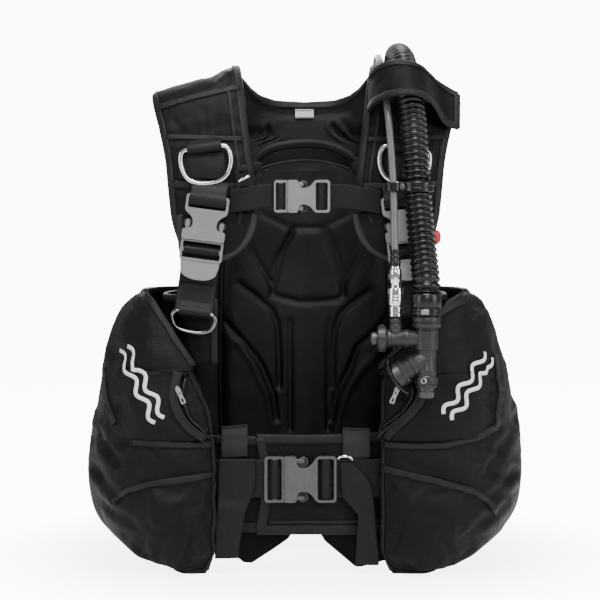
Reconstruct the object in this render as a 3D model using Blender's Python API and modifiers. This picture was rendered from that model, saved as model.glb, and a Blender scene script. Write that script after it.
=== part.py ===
"""Buoyancy compensator vest, jacket style, standing upright and fastened.

Frame: metres, +Z up, the vest's front faces -Y, the wearer's left is +X.
The origin is at the bottom centre of the whole object's box (free hose left out).
Dimensions below are written in millimetres and turned into metres by mm().
"""

import bpy
import bmesh
import math
import numpy as np
from mathutils import Matrix, Vector

# ------------------------------------------------------------------ driving dimensions (mm)
OVERALL_DEPTH_SHIFT = -76.5    # moves the model so that the origin is the middle of its depth
OVERALL_SIDE_SHIFT = 0.0
BACK_Y = 98.0                  # middle of the back panel
BACK_T = 14.0
PAD_FRONT_Y = 66.0
PLATE_Y0, PLATE_Y1 = 109.5, 117.0
LOBE_T = 40.0                  # fullest thickness of an air lobe
HOSE_R = 17.5                  # corrugated hose, over its ridges
LP_R = 4.5                     # low-pressure hose
WEB_T = 1.8                    # webbing thickness
TANK_R = 93.0                  # inside of the tank band: 184 mm cylinder
TANK_Z = 262.0
WAIST_Z = 121.0
CHEST_Z = 475.0
INFL_X, INFL_Y = 148.0, -150.0
TBAR_Z = 300.0

for old in list(bpy.data.objects):
    bpy.data.objects.remove(old, do_unlink=True)

parts = bpy.data.collections.new("buoyancy_vest")
helpers = bpy.data.collections.new("cutters")
bpy.context.scene.collection.children.link(parts)
bpy.context.scene.collection.children.link(helpers)
frame = bpy.data.objects.new("vest_frame", None)
frame.location = (OVERALL_SIDE_SHIFT * 0.001, OVERALL_DEPTH_SHIFT * 0.001, 0)
parts.objects.link(frame)
frame.empty_display_size = 0.05


def mm(v):
    return Vector(v) * 0.001


# ------------------------------------------------------------------ materials
def material(name, rgb, rough, metal=0.0):
    m = bpy.data.materials.new(name)
    m.use_nodes = True
    b = m.node_tree.nodes["Principled BSDF"]
    b.inputs["Base Color"].default_value = (*rgb, 1)
    b.inputs["Roughness"].default_value = rough
    b.inputs["Metallic"].default_value = metal
    m.diffuse_color = (*rgb, 1)
    return m


SHELL = material("shell_fabric", (0.022, 0.022, 0.024), 0.8)
MESHY = material("pad_fabric", (0.018, 0.018, 0.022), 0.85)
WEB = material("webbing", (0.028, 0.028, 0.030), 0.7)
TRIM = material("binding", (0.035, 0.035, 0.037), 0.7)
GREY = material("buckle_plastic", (0.20, 0.20, 0.21), 0.45)
BLACK = material("black_plastic", (0.03, 0.03, 0.033), 0.35)
RUBBER = material("hose_rubber", (0.02, 0.02, 0.021), 0.4)
HOSE = material("lp_hose_jacket", (0.16, 0.16, 0.165), 0.45)
STEEL = material("stainless_steel", (0.75, 0.75, 0.76), 0.18, 1.0)
CHROME = material("chrome_brass", (0.85, 0.85, 0.86), 0.1, 1.0)
RED = material("red_plastic", (0.65, 0.02, 0.02), 0.35)
WHITE = material("label_fabric", (0.8, 0.8, 0.8), 0.8)


# ------------------------------------------------------------------ helpers
def link(ob, mat=None, helper=False, smooth=True):
    (helpers if helper else parts).objects.link(ob)
    ob.parent = frame
    if mat and ob.data is not None:
        ob.data.materials.append(mat)
    if helper:
        ob.hide_render = True
        ob.display_type = "WIRE"
    elif smooth and ob.type == "MESH":
        ob.data.shade_smooth()
        ob.data.set_sharp_from_angle(angle=math.radians(40))
    return ob


def place(ob, loc=(0, 0, 0), rot=None, base=None):
    m = Matrix.Translation(mm(loc))
    if rot is not None:
        m = m @ rot.to_4x4()
    ob.matrix_local = m if base is None else base @ m
    return ob


def from_bm(name, bm):
    bmesh.ops.recalc_face_normals(bm, faces=bm.faces)
    me = bpy.data.meshes.new(name)
    bm.to_mesh(me)
    bm.free()
    return bpy.data.objects.new(name, me)


def box(name, size, loc, mat=None, rot=None, bevel=0.0, helper=False, seg=2):
    bm = bmesh.new()
    bmesh.ops.create_cube(bm, size=1)
    bmesh.ops.scale(bm, vec=mm(size), verts=bm.verts)
    ob = link(from_bm(name, bm), mat, helper)
    if bevel:
        b = ob.modifiers.new("round", "BEVEL")
        b.width, b.segments = bevel * 0.001, seg
    return place(ob, loc, rot)


def axis_rot(d):
    """Rotation that takes +Z to direction d."""
    return Vector(d).normalized().to_track_quat("Z", "Y").to_matrix()


def cyl(name, r1, r2, p0, p1, mat=None, seg=20, helper=False, base=None):
    """Cylinder or cone from point p0 to point p1."""
    a, b = Vector(p0), Vector(p1)
    bm = bmesh.new()
    bmesh.ops.create_cone(bm, cap_ends=True, segments=seg, radius1=r1 * 0.001,
                          radius2=r2 * 0.001, depth=(b - a).length * 0.001)
    ob = link(from_bm(name, bm), mat, helper)
    return place(ob, (a + b) / 2, axis_rot(b - a), base)


def turned(name, profile, p0, d, mat, seg=20):
    """Profile of (radius, height) pairs, top to bottom on its outer side, turned about the axis through p0 along d."""
    bm = bmesh.new()
    vs = [bm.verts.new(mm((r, 0, h))) for r, h in profile]
    for a, b in zip(vs, vs[1:]):
        bm.edges.new((a, b))
    me = bpy.data.meshes.new(name)
    bm.to_mesh(me)
    bm.free()
    ob = link(bpy.data.objects.new(name, me), mat, smooth=False)
    s = ob.modifiers.new("turn", "SCREW")
    s.steps = s.render_steps = seg
    s.use_merge_vertices = True
    s.merge_threshold = 0.00001
    s.use_normal_calculate = True
    return place(ob, p0, axis_rot(d))


def spline_points(pts, n, closed=False):
    """n points on a smooth Catmull-Rom curve through pts."""
    p = [np.array(q, float) for q in pts]
    if closed:
        p = [p[-1]] + p + [p[0], p[1]]
    else:
        p = [2 * p[0] - p[1]] + p + [2 * p[-1] - p[-2]]
    spans = len(p) - 3
    fine = []
    for i in range(spans):
        a, b, c, d = p[i:i + 4]
        for k in range(24):
            t = k / 24
            fine.append(0.5 * ((2 * b) + (c - a) * t + (2 * a - 5 * b + 4 * c - d) * t * t
                               + (3 * b - a - 3 * c + d) * t ** 3))
    fine.append(p[-2])
    fine = np.array(fine)
    s = np.concatenate([[0], np.cumsum(np.linalg.norm(np.diff(fine, axis=0), axis=1))])
    at = np.linspace(0, s[-1], n + (1 if closed else 0))
    if closed:
        at = at[:-1]
    return [tuple(np.array([np.interp(x, s, fine[:, k]) for k in range(fine.shape[1])])) for x in at]


def tube(name, pts, r, mat, cyclic=False, res=2, loc=(0, 0, 0), rot=None):
    cu = bpy.data.curves.new(name, "CURVE")
    cu.dimensions = "3D"
    cu.bevel_depth = r * 0.001
    cu.bevel_resolution = res
    cu.use_fill_caps = not cyclic
    sp = cu.splines.new("POLY")
    sp.points.add(len(pts) - 1)
    for q, p in zip(sp.points, pts):
        q.co = (*mm(p), 1)
    sp.use_cyclic_u = cyclic
    ob = link(bpy.data.objects.new(name, cu), mat)
    return place(ob, loc, rot)


def to_mesh(ob):
    """A curve made into a welded mesh object of the same name, material and place."""
    bpy.context.view_layer.update()
    dg = bpy.context.evaluated_depsgraph_get()
    me = bpy.data.meshes.new_from_object(ob.evaluated_get(dg))
    bm = bmesh.new()
    bm.from_mesh(me)
    bmesh.ops.remove_doubles(bm, verts=bm.verts, dist=0.00001)
    bmesh.ops.recalc_face_normals(bm, faces=bm.faces)
    bm.to_mesh(me)
    bm.free()
    name, world, helper = ob.name, ob.matrix_local.copy(), ob.hide_render
    bpy.data.objects.remove(ob, do_unlink=True)
    new = bpy.data.objects.new(name, me)
    (helpers if helper else parts).objects.link(new)
    new.parent = frame
    new.matrix_local = world
    if helper:
        new.hide_render = True
        new.display_type = "WIRE"
    return new


def outline(name, loops, thick, mat, loc=(0, 0, 0), rot=None, helper=False):
    """Flat outline in its local XY plane, holes allowed, extruded evenly to both sides."""
    cu = bpy.data.curves.new(name, "CURVE")
    cu.dimensions = "2D"
    cu.fill_mode = "BOTH"
    cu.extrude = thick * 0.0005
    for pts in loops:
        sp = cu.splines.new("POLY")
        sp.points.add(len(pts) - 1)
        for q, p in zip(sp.points, pts):
            q.co = (p[0] * 0.001, p[1] * 0.001, 0, 1)
        sp.use_cyclic_u = True
    ob = link(bpy.data.objects.new(name, cu), mat, helper)
    place(ob, loc, rot)
    return to_mesh(ob)


def sheet(name, rows, thick, mat, subdiv=0, closed=False, offset=0.0):
    """Open surface through rows of points, given a thickness."""
    bm = bmesh.new()
    grid = [[bm.verts.new(mm(p)) for p in row] for row in rows]
    n = len(grid)
    for i in range(n if closed else n - 1):
        a, b = grid[i], grid[(i + 1) % n]
        for j in range(len(a) - 1):
            bm.faces.new((a[j], a[j + 1], b[j + 1], b[j]))
    ob = link(from_bm(name, bm), mat)
    if subdiv:
        s = ob.modifiers.new("smooth", "SUBSURF")
        s.levels = s.render_levels = subdiv
    so = ob.modifiers.new("thickness", "SOLIDIFY")
    so.thickness = thick * 0.001
    so.offset = offset
    so.use_even_offset = True
    so.use_rim = True
    return ob


def strap(name, path, across, width, thick, mat, closed=False):
    """Webbing along path; across is one vector or one per point, in the webbing's own plane."""
    rows = []
    for i, p in enumerate(path):
        a = Vector(across[i] if isinstance(across, list) else across).normalized() * (width / 2)
        rows.append([tuple(Vector(p) - a), tuple(Vector(p) + a)])
    return sheet(name, rows, thick, mat, closed=closed)


def boolean(ob, other, op):
    m = ob.modifiers.new(op.lower(), "BOOLEAN")
    m.operation = op
    m.object = other
    m.solver = "EXACT"


def rounded_rect(w, h, r, n=4, cx=0.0, cy=0.0):
    pts = []
    for k, (sx, sy) in enumerate([(1, 1), (-1, 1), (-1, -1), (1, -1)]):
        for i in range(n + 1):
            a = math.radians(90 * k + 90 * i / n)
            pts.append((cx + sx * (w / 2 - r) + r * math.cos(a), cy + sy * (h / 2 - r) + r * math.sin(a)))
    return pts


def interp(table, v):
    return float(np.interp(v, [t[0] for t in table], [t[1] for t in table]))


# ------------------------------------------------------------------ back of the jacket
# half width of the back panel against height: skirt, side seam, armhole, then the neck yoke
PANEL_W = [(36, 118), (60, 138), (100, 145), (360, 145), (374, 166), (400, 164), (430, 163), (500, 166),
           (545, 171), (556, 78), (575, 78), (640, 78)]
NECK_Z = [(0, 604), (40, 606), (60, 612), (74, 622), (84, 636)]
YOKE_Y = [(530, 84), (556, 82), (590, 68), (622, 45), (640, 20)]


def panel_row(z0, cols=15):
    row = []
    for i in range(cols):
        t = -1 + 2 * i / (cols - 1)
        z = z0
        for _ in range(3):
            x = t * interp(PANEL_W, z)
            z = min(z0, interp(NECK_Z, abs(x)) if z0 > 560 else z0)
        k = max(0.0, min(1.0, (z - 552) / 20)) * (abs(x) / 83) ** 3
        y = BACK_Y - 6 * (x / 165) ** 2 * (0 if z0 > 552 else 1)
        y = y * (1 - k) + (interp(YOKE_Y, z) + 4) * k
        row.append((x, y, z))
    return row


# rows above the neck's lowest point share the neck curve, so they are spaced between 560 and that curve
def back_rows():
    rows = [panel_row(z) for z in (36, 60, 100, 180, 270, 360, 374, 400, 430, 500, 545, 556, 572)]
    base = panel_row(572)
    for f in (0.45, 1.0):
        row = []
        for x, y, z in base:
            top = interp(NECK_Z, abs(x))
            zz = 572 + (top - 572) * f
            k = (abs(x) / 83) ** 3
            yy = BACK_Y * (1 - k) + (interp(YOKE_Y, zz) + 4) * k
            row.append((x, yy, zz))
        rows.append(row)
    return rows


sheet("back_panel", back_rows(), BACK_T, SHELL)

# padded back cushion, a flat-backed pad with rounded edges
PAD_HALF = [(56, 96), (90, 108), (200, 112), (300, 112), (400, 108), (450, 98), (490, 84), (512, 62), (522, 34), (525, 0)]
pad_outline = [(w, z) for z, w in PAD_HALF] + [(-w, z) for z, w in reversed(PAD_HALF[:-1])]
pad = outline("back_pad", [pad_outline], 17, MESHY, (0, PAD_FRONT_Y + 13, 0), Matrix.Rotation(math.radians(90), 3, "X"))
pad.data.materials.clear()
pad.data.materials.append(MESHY)
bv = pad.modifiers.new("round", "BEVEL")
bv.width, bv.segments = 0.006, 2

# plain sewn label below the neckline
sheet("neck_label", [[(-13, BACK_Y - 7.6, z), (12, BACK_Y - 7.6, z)] for z in (583, 595)], 0.6, WHITE)

# hard plate behind the panel: slots for the tank band, lightening windows
plate_pts = [(0, 522), (40, 520), (66, 508), (78, 480), (86, 400), (92, 300), (92, 190), (84, 160), (60, 148), (0, 146)]
plate_loop = plate_pts + [(-x, z) for x, z in reversed(plate_pts[1:-1])]
holes = [rounded_rect(6, 58, 2.5, 2, sx * 82, TANK_Z) for sx in (-1, 1)]
holes += [rounded_rect(62, 34, 12, 3, 0, 470), rounded_rect(60, 60, 14, 3, 0, 390), rounded_rect(56, 26, 10, 3, 0, 196)]
outline("backpack_plate", [plate_loop] + holes, PLATE_Y1 - PLATE_Y0, BLACK, (0, (PLATE_Y0 + PLATE_Y1) / 2, 0),
        Matrix.Rotation(math.radians(90), 3, "X"))

# ------------------------------------------------------------------ shoulder yokes
# rows: inner x, outer x, y, inner z, outer z
YOKE = [(98, 150, -60, 414, 400), (79, 160, -61, 431, 420), (67, 168, -62, 452, 448), (65, 172, -62, 488, 484),
        (70, 176, -58, 530, 522), (76, 184, -49, 578, 560), (81, 192, -32, 619, 588), (85, 196, -8, 641, 604),
        (86, 197, 18, 641, 604), (86, 194, 45, 624, 590), (86, 187, 66, 592, 563), (88, 172, 75, 557, 543), (90, 166, 77, 535, 529)]


def yoke_rows(side, cols=6):
    rows = []
    for xi, xo, y, zi, zo in YOKE:
        row = []
        for i in range(cols):
            t = i / (cols - 1)
            bulge = -2.0 * math.sin(math.pi * t) * (1 if y < 0 else 0)
            row.append((side * (xi + (xo - xi) * t), y + bulge, zi + (zo - zi) * t))
        rows.append(row)
    return rows


for side, word in ((-1, "right"), (1, "left")):
    sheet(word + "_shoulder_yoke", yoke_rows(side), 11, SHELL)

# ------------------------------------------------------------------ air lobes
LOBE_PATH = [(151, 97), (205, 91), (241, 60), (258, 8), (252, -46), (226, -84), (182, -106), (142, -109), (114, -101)]
LOBE_K = [(0, .06), (4, .12), (15, .30), (41, .60), (60, .84), (80, .95), (112, 1), (151, .985), (202, .955), (254, .90), (305, .76), (340, .60), (357, .52)]
LOBE_KY = [(0, .80), (15, .88), (41, .95), (80, 1), (202, 1), (254, .97), (305, .91), (357, .80)]
LOBE_END = {-1: [(0, 7.6), (30, 8), (155, 8), (203, 7.78), (232, 7.35), (256, 7.0), (277, 6.75), (305, 6.1), (330, 5.2), (357, 4.1)],
            1: [(0, 7.6), (30, 8), (246, 8), (277, 7.0), (305, 6.1), (330, 5.2), (357, 4.1)]}
LOBE_THICK = [(0, 10), (8, 24), (30, 36), (80, 40), (220, 38), (300, 28), (340, 18), (357, 9)]
EDGE_SHIFT = {-1: 0.0, 1: -18.0}      # the wearer's left lobe reaches further to the middle


def cr(pts, t):
    """Catmull-Rom point at parameter t along the control points."""
    n = len(pts) - 1
    i = min(int(t), n - 1)
    f = t - i
    p = [np.array(pts[min(max(j, 0), n)], float) for j in (i - 1, i, i + 1, i + 2)]
    if i == 0:
        p[0] = 2 * p[1] - p[2]
    if i == n - 1:
        p[3] = 2 * p[2] - p[1]
    a, b, c, d = p
    return 0.5 * (2 * b + (c - a) * f + (2 * a - 5 * b + 4 * c - d) * f * f + (3 * b - a - 3 * c + d) * f ** 3)


def lobe_centre(side, t, z):
    k, ky = interp(LOBE_K, z), interp(LOBE_KY, z)
    x, y = cr(LOBE_PATH, t)
    shift = EDGE_SHIFT[side] * max(0.0, min(1.0, (t - 5.5) / 2.5))
    x = 151 + (x - 151) * (k if x > 151 else 1.0) + shift
    y = y * ky if y < 0 else 97 - (97 - y) * (0.6 + 0.4 * k)
    return np.array((x, y))


def lobe_point(side, u, z, off):
    """Point off mm outside the lobe's middle surface, at share u of its way from the back seam to the front edge."""
    t = u * interp(LOBE_END[side], z)
    a, b = lobe_centre(side, max(t - 0.05, 0), z), lobe_centre(side, t + (0.05 if t < 7.95 else 0), z)
    d = (b - a) / np.linalg.norm(b - a)
    c = lobe_centre(side, t, z)
    # the path runs back to front with the body on its left, so outside is to the right of travel, mirrored per side
    out = np.array((-d[1], d[0]))
    p = c + out * off
    return (side * p[0], p[1], z)


def lobe_half(u, z):
    return interp(LOBE_THICK, z) / 2 * (0.34 + 0.66 * (1 - abs(2 * u - 1) ** 3.2))


def lobe(side, name):
    zs = (0.5, 4, 14, 36, 64, 100, 150, 200, 237, 241, 275, 305, 332, 350, 357)
    us = np.linspace(0, 1, 13)
    bm = bmesh.new()
    rings = []
    for z in zs:
        ring = [lobe_point(side, u, z, lobe_half(u, z)) for u in us]
        ring += [lobe_point(side, u, z, -lobe_half(u, z)) for u in us[::-1]]
        rings.append([bm.verts.new(mm(p)) for p in ring])
    n = len(rings[0])
    for a, b in zip(rings, rings[1:]):
        for j in range(n):
            bm.faces.new((a[j], a[(j + 1) % n], b[(j + 1) % n], b[j]))
    for ring, flip in ((rings[0], True), (rings[-1], False)):
        m = len(us)
        for j in range(m - 1):
            quad = (ring[j], ring[j + 1], ring[n - 2 - j], ring[n - 1 - j])
            bm.faces.new(quad)
    return link(from_bm(name, bm), SHELL)


def lobe_patch(side, name, us, zs, gap, thick):
    """A sewn-on layer that follows the lobe's outer face."""
    rows = []
    for z in zs:
        rows.append([lobe_point(side, u, z, lobe_half(u, z) + gap + thick / 2) for u in us])
    return sheet(name, rows, thick, SHELL)


for side, word in ((-1, "right"), (1, "left")):
    lobe(side, word + "_lobe")
    lobe_patch(side, word + "_pocket", np.linspace(0, 1, 13)[6:], (36, 64, 100, 150, 200, 237), 1.7, 3.6)
    lobe_patch(side, word + "_pocket_flap", np.linspace(0, 1, 13)[6:], (241, 275, 305, 332), 1.7, 3.6)

# front panel under each lobe's top: carries the lower end of the shoulder strap
FRONT_PATH = [(149, 80), (170, 62), (182, 15), (178, -35), (158, -62), (136, -70), (112, -72)]
for side, word in ((-1, "right"), (1, "left")):
    rows = []
    for z, k in ((262, 1.0), (300, 1.0), (352, 0.97)):
        rows.append([(side * (149 + (x - 149) * k if x > 149 else x), y, z) for x, y in spline_points(FRONT_PATH, 12)])
    sheet(word + "_front_panel", rows, 5, SHELL)

# ------------------------------------------------------------------ cummerbund
# each half runs from beside the back pad round the waist; the left half closes over the right
CUM_R = [(-121, 82), (-142, 58), (-150, 15), (-145, -38), (-122, -66), (-96, -75.5), (-50, -80), (0, -81), (30, -81)]
CUM_L = [(121, 82), (142, 58), (150, 15), (145, -38), (122, -67), (96, -77), (50, -85.5), (0, -87), (-60, -87)]
for path, name, z0, z1 in ((CUM_R, "right_cummerbund", 52, 172), (CUM_L, "left_cummerbund", 50, 176)):
    pts = spline_points(path, 22)
    sheet(name, [[(x, y, z) for x, y in pts] for z in (z0, (z0 + z1) / 2, z1)], 3.6, SHELL)

# ------------------------------------------------------------------ side-release buckles
def buckle(prefix, size, length, body, prong, thick, loc, rot, slots):
    """A side-release pair in a local frame: the strap runs along local X, the socket's mouth is at x = 0 and faces -X,
    local Z is the buckle's face. size is its width, body the socket's length without its bar frame."""
    h = size / 2
    total = body + 13 * size / 58
    waist = h * 0.74
    edge = [(0.0, h), (body * .22, h), (body * .28, h * .96), (body * .34, waist), (body * .62, waist * .96),
            (body * .72, waist), (body * .88, h * .97), (total - 3, h), (total, h - 3)]
    loop = edge + [(x, -y) for x, y in reversed(edge)]
    bar = total - 4.2
    slot = rounded_rect(bar - body * .86 - 2, size - 11, 1.5, 2, (bar + body * .86 + 2) / 2, 0)
    female = outline(prefix + "_socket", [loop, slot], thick, GREY, loc, rot)
    cav = box(prefix + "_socket_cavity", (prong + 3, size - 6, thick - 4.4), (0, 0, 0), helper=True)
    cav.matrix_local = Matrix.Translation(mm(loc)) @ rot.to_4x4() @ Matrix.Translation(mm(((prong - 1) / 2, 0, 0)))
    boolean(female, cav, "DIFFERENCE")
    # plug: frame with two webbing slots, three fingers that enter the socket
    a = size - 7.4
    fw = length
    g = 1.4
    outer = [(-0.6, h), (-fw + 3, h), (-fw, h - 3), (-fw, -h + 3), (-fw + 3, -h), (-0.6, -h),
             (-0.6, -a / 2), (prong * .5, -a / 2), (prong - 3, -a / 2 + 1.5), (prong, -a / 2 + 5), (prong - 4, -a / 2 + 6),
             (prong * .3, -a / 2 + 5), (1.5, -a / 2 + 7), (1.5, -3), (prong - 3, -2.5), (prong - 1, 0),
             (prong - 3, 2.5), (1.5, 3), (1.5, a / 2 - 7), (prong * .3, a / 2 - 5), (prong - 4, a / 2 - 6),
             (prong, a / 2 - 5), (prong - 3, a / 2 - 1.5), (prong * .5, a / 2), (-0.6, a / 2)]
    holes = [rounded_rect(w, size - 11, 1.2, 2, -c, 0) for c, w in slots]
    male = outline(prefix + "_plug", [outer] + holes, thick - 5.4, GREY, loc, rot)
    for ob in (female, male):
        ob.data.materials.clear()
        ob.data.materials.append(GREY)
    return female, male


# local axes of a buckle whose strap runs along world direction d, its face towards -Y
def strap_frame(d):
    x = Vector(d).normalized()
    z = Vector((0, -1, 0))
    z = (z - x * z.dot(x)).normalized()
    y = z.cross(x)
    return Matrix((x, y, z)).transposed()


# waist: plug on the wearer's right, socket on the left
WAIST_Y = -102.0
buckle("waist_buckle", 58, 25, 52, 26, 12, (-26, WAIST_Y, WAIST_Z), strap_frame((1, 0, 0)), [(6.5, 6), (17.5, 6)])
# chest
CHEST_Y = -86.0
buckle("chest_buckle", 41, 17, 44, 20, 10, (-22, CHEST_Y, CHEST_Z), strap_frame((1, 0, 0)), [(4.6, 4.4), (12.2, 4.4)])
# shoulders: socket above, plug below with its lifting tab
SH_LOC = {-1: (-130.5, -84, 405), 1: (130.5, -84, 405)}
SH_MOUTH = 14.5                 # the socket's mouth lies this far up the strap from there
for side, word in ((-1, "right"), (1, "left")):
    d = (0.13 * -side, 0, 0.991)
    mouth = tuple(Vector(SH_LOC[side]) + Vector(d).normalized() * SH_MOUTH)
    buckle(word + "_shoulder_buckle", 54, 50, 45, 25, 12, mouth, strap_frame(d), [(6.5, 6), (17.0, 5)])

# ------------------------------------------------------------------ webbing
# waist straps run inside the lobes, close in front of the cummerbund
pts = spline_points([(-159, 12), (-156, -40), (-132, -76), (-106, -86.5), (-84, -91), (-62, -93), (-28, -93)], 18)
strap("waist_strap_right", [(x, y, WAIST_Z) for x, y in pts], (0, 0, 1), 48, WEB_T, WEB)
pts = spline_points([(159, 12), (156, -40), (132, -76), (106, -87), (80, -91), (60, -92.5), (14, -93)], 18)
strap("waist_strap_left", [(x, y, WAIST_Z) for x, y in pts], (0, 0, 1), 48, WEB_T, WEB)
# free ends: out of the buckle, folded down and hanging to the floor
TAILS = {"right": [(-54.5, 143), (-78, 143), (-108, 112), (-109, 8), (-67, 8), (-65, 80), (-54.5, 99)],
         "left": [(46.5, 143), (66, 143), (90, 114), (90, 8), (54, 8), (53, 84), (46.5, 99)]}
for word, loop in TAILS.items():
    outline("waist_tail_" + word, [loop], WEB_T, WEB, (0, -96.6, 0), Matrix.Rotation(math.radians(90), 3, "X"))

# chest straps: from the yoke's inner edge to the buckle
strap("chest_strap_right", [(-96, -74.0, 469), (-84, -76, 471), (-68, -78.2, 473), (-54, -79, CHEST_Z), (-41, -79.4, CHEST_Z)],
      (0, 0, 1), 30, WEB_T, WEB)
strap("chest_strap_left", [(96, -74.0, 468), (84, -76, 470), (66, -78.2, 473), (50, -79, CHEST_Z), (26, -79.4, CHEST_Z)],
      (0, 0, 1), 30, WEB_T, WEB)

for side, word in ((-1, "right"), (1, "left")):
    f = strap_frame((0.13 * -side, 0, 0.991))
    base = Vector(SH_LOC[side])
    up = f.col[0]

    def along(s, out):
        """Point s mm up the strap from the socket's mouth, out mm in front of the buckle's middle plane."""
        return tuple(base + up * s + Vector((0, -1, 0)) * out)

    # short loop that ties the socket to the yoke
    strap(word + "_strap_loop", [along(80, -11), along(72, -11), along(64.5, -10.2), along(61.6, -8), along(61.4, -2), along(61.4, 4.6)],
          tuple(f.col[1]), 41, WEB_T, WEB)
    # lower webbing, from the plug down to the front panel, rolled round the D-ring's bar at its end
    strap(word + "_lower_web", [along(-20, -6.4), along(-34, -6.4), along(-50, -6.2), along(-66, -6.0), along(-74, -5.8), along(-80, -5.6)],
          tuple(f.col[1]), 46, WEB_T, WEB)

# ------------------------------------------------------------------ D-rings
def d_ring(name, tab, width, drop, wire, loc, rot, tab_size, tab_shift, mat):
    """A bent-wire D: straight bar on top through its own tab, bow hanging below. Local X along the bar, local Z up."""
    h = width / 2
    pts = [(-h * .80, 0, 0), (-h * .3, 0, 0), (h * .3, 0, 0), (h * .80, 0, 0)]
    bow = spline_points([(h * .93, -drop * .05), (h, -drop * .22), (h * .99, -drop * .48), (h * .80, -drop * .80), (h * .42, -drop * .97),
                         (0, -drop), (-h * .42, -drop * .97), (-h * .80, -drop * .80), (-h * .99, -drop * .48), (-h, -drop * .22),
                         (-h * .93, -drop * .05)], 18)
    pts += [(x, 0, z) for x, z in bow]
    ring = tube(name, pts, wire / 2, mat, cyclic=True, res=1, loc=loc, rot=rot)
    if tab:
        t = box(name + "_keeper", tab_size, (0, 0, 0), helper=True)
        t.matrix_local = (Matrix.Translation(mm(loc)) @ rot.to_4x4()
                          @ Matrix.Translation(mm((0, tab_shift, tab_size[2] / 2 - wire / 2 - 1.6))))
        bore = cyl(name + "_bore", wire / 2 + 0.6, wire / 2 + 0.6, (-width, 0, 0), (width, 0, 0), helper=True, seg=14,
                   base=Matrix.Translation(mm(loc)) @ rot.to_4x4())
        boolean(tab, t, "UNION")
        boolean(tab, bore, "DIFFERENCE")
    return ring


for side, word in ((-1, "right"), (1, "left")):
    roll = Matrix.Rotation(math.radians(-7 if side < 0 else 7), 3, "Y")
    lean = Matrix.Rotation(math.radians(-4), 3, "X")
    d_ring(word + "_shoulder_dring", bpy.data.objects[word + "_shoulder_yoke"], 63, 45, 6, (side * 127, -72.5, 536), roll @ lean, (44, 15, 15), 3.5, STEEL)
    d_ring(word + "_lower_dring", bpy.data.objects[word + "_lower_web"], 55, 25, 5, (side * 139, -85.5, 329), Matrix.Rotation(math.radians(8 if side < 0 else -8), 3, "Y"),
           (42, 12, 14), 2.2, STEEL)

# ------------------------------------------------------------------ carry handle: arched grip above the back pad
handle = spline_points([(-66, 79, 520), (-63, 79, 530), (-48, 78, 541), (-22, 77, 547), (6, 77, 549), (34, 77, 545), (56, 78, 535),
                        (68, 79, 526), (70, 79, 520)], 20)
hinge = Vector((2, 79, 520))
tube("carry_handle", [tuple(Vector(p) - hinge) for p in handle], 5.5, WEB, res=1, loc=tuple(hinge))

# ------------------------------------------------------------------ breathing hose, inflator and low-pressure hose
HOSE_PATH = [(122, 121, 578), (122, 119, 606), (122, 98, 640), (122, 58, 656), (122, 10, 658.5), (125, -38, 643.5), (130, -74, 608), (134, -94, 570),
             (136, -107, 533), (139.5, -118, 471), (144, -132, 415), (147, -145, 380), (147.8, -149, 368), (148, -150, 356.5)]
tube("corrugated_hose", spline_points(HOSE_PATH, 40), HOSE_R, RUBBER, res=2)
# elbow on the back of the left shoulder
elbow = cyl("hose_elbow", 21, 21, (122, 105.6, 540), (122, 111.5, 540), BLACK)
parts_e = [cyl("elbow_a", 15, 15, (122, 108, 540), (122, 127, 540), helper=True), cyl("elbow_b", 14, 14, (122, 121, 530), (122, 121, 577.4), helper=True)]
for h_ in parts_e:
    boolean(elbow, h_, "UNION")
# inflator: vertical valve body, cross bar with the inflate button, nipple, mouthpiece neck
X, Y = INFL_X, INFL_Y
body = cyl("inflator_body", 14.5, 14.5, (X, Y, 353), (X, Y, 286), BLACK)
neck_dir = Vector((-0.85, 0, -0.52)).normalized()
neck0 = Vector((X, Y, 276))
adds = [cyl("infl_rings", 17.6, 17.6, (X, Y, 327), (X, Y, 314), helper=True),
        cyl("infl_lower", 11, 11, (X, Y, 290), (X, Y, 252), helper=True),
        cyl("infl_cap", 17, 17, (X, Y, 256), (X, Y, 240), helper=True),
        cyl("infl_bar", 10.5, 10.5, (98, Y, TBAR_Z), (X, Y, TBAR_Z), helper=True),
        cyl("infl_flange", 16, 16, (88, Y, TBAR_Z), (99.5, Y, TBAR_Z), helper=True),
        cyl("infl_nipple", 8, 8, (110, Y, 305), (110, Y, 326), helper=True),
        cyl("infl_neck", 12.5, 12.5, neck0, neck0 + neck_dir * 40, helper=True)]
for a in adds:
    boolean(body, a, "UNION")
for name, r, p0, p1 in (("infl_button_bore", 8.5, (86, Y, TBAR_Z), (96, Y, TBAR_Z)), ("infl_exhaust_bore", 10.5, (X, Y, 252), (X, Y, 238))):
    boolean(body, cyl(name, r, r, p0, p1, helper=True), "DIFFERENCE")
cyl("inflate_button", 8, 8, (80, Y, TBAR_Z), (91.5, Y, TBAR_Z), BLACK, seg=16)
cyl("deflate_button", 10, 10, (X, Y, 227), (X, Y, 245.5), BLACK, seg=16)
mp0 = neck0 + neck_dir * 30
mouth = cyl("mouthpiece", 15.8, 15, tuple(mp0), tuple(mp0 + neck_dir * 19), RUBBER)
mrot = Matrix((neck_dir.cross(Vector((0, 1, 0))).normalized(), Vector((0, 1, 0)), neck_dir)).transposed()
if mrot.determinant() < 0:
    mrot = Matrix((-neck_dir.cross(Vector((0, 1, 0))).normalized(), Vector((0, 1, 0)), neck_dir)).transposed()
flange = outline("mouth_flange", [[(28 * math.cos(a), 17.5 * math.sin(a)) for a in np.linspace(0, 2 * math.pi, 25)[:-1]]], 2.6, None,
                 tuple(mp0 + neck_dir * 18), mrot, helper=True)
boolean(mouth, flange, "UNION")
boolean(mouth, cyl("mouth_socket", 12.9, 12.9, tuple(mp0 - neck_dir * 4), tuple(mp0 + neck_dir * 11), helper=True), "DIFFERENCE")
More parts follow.
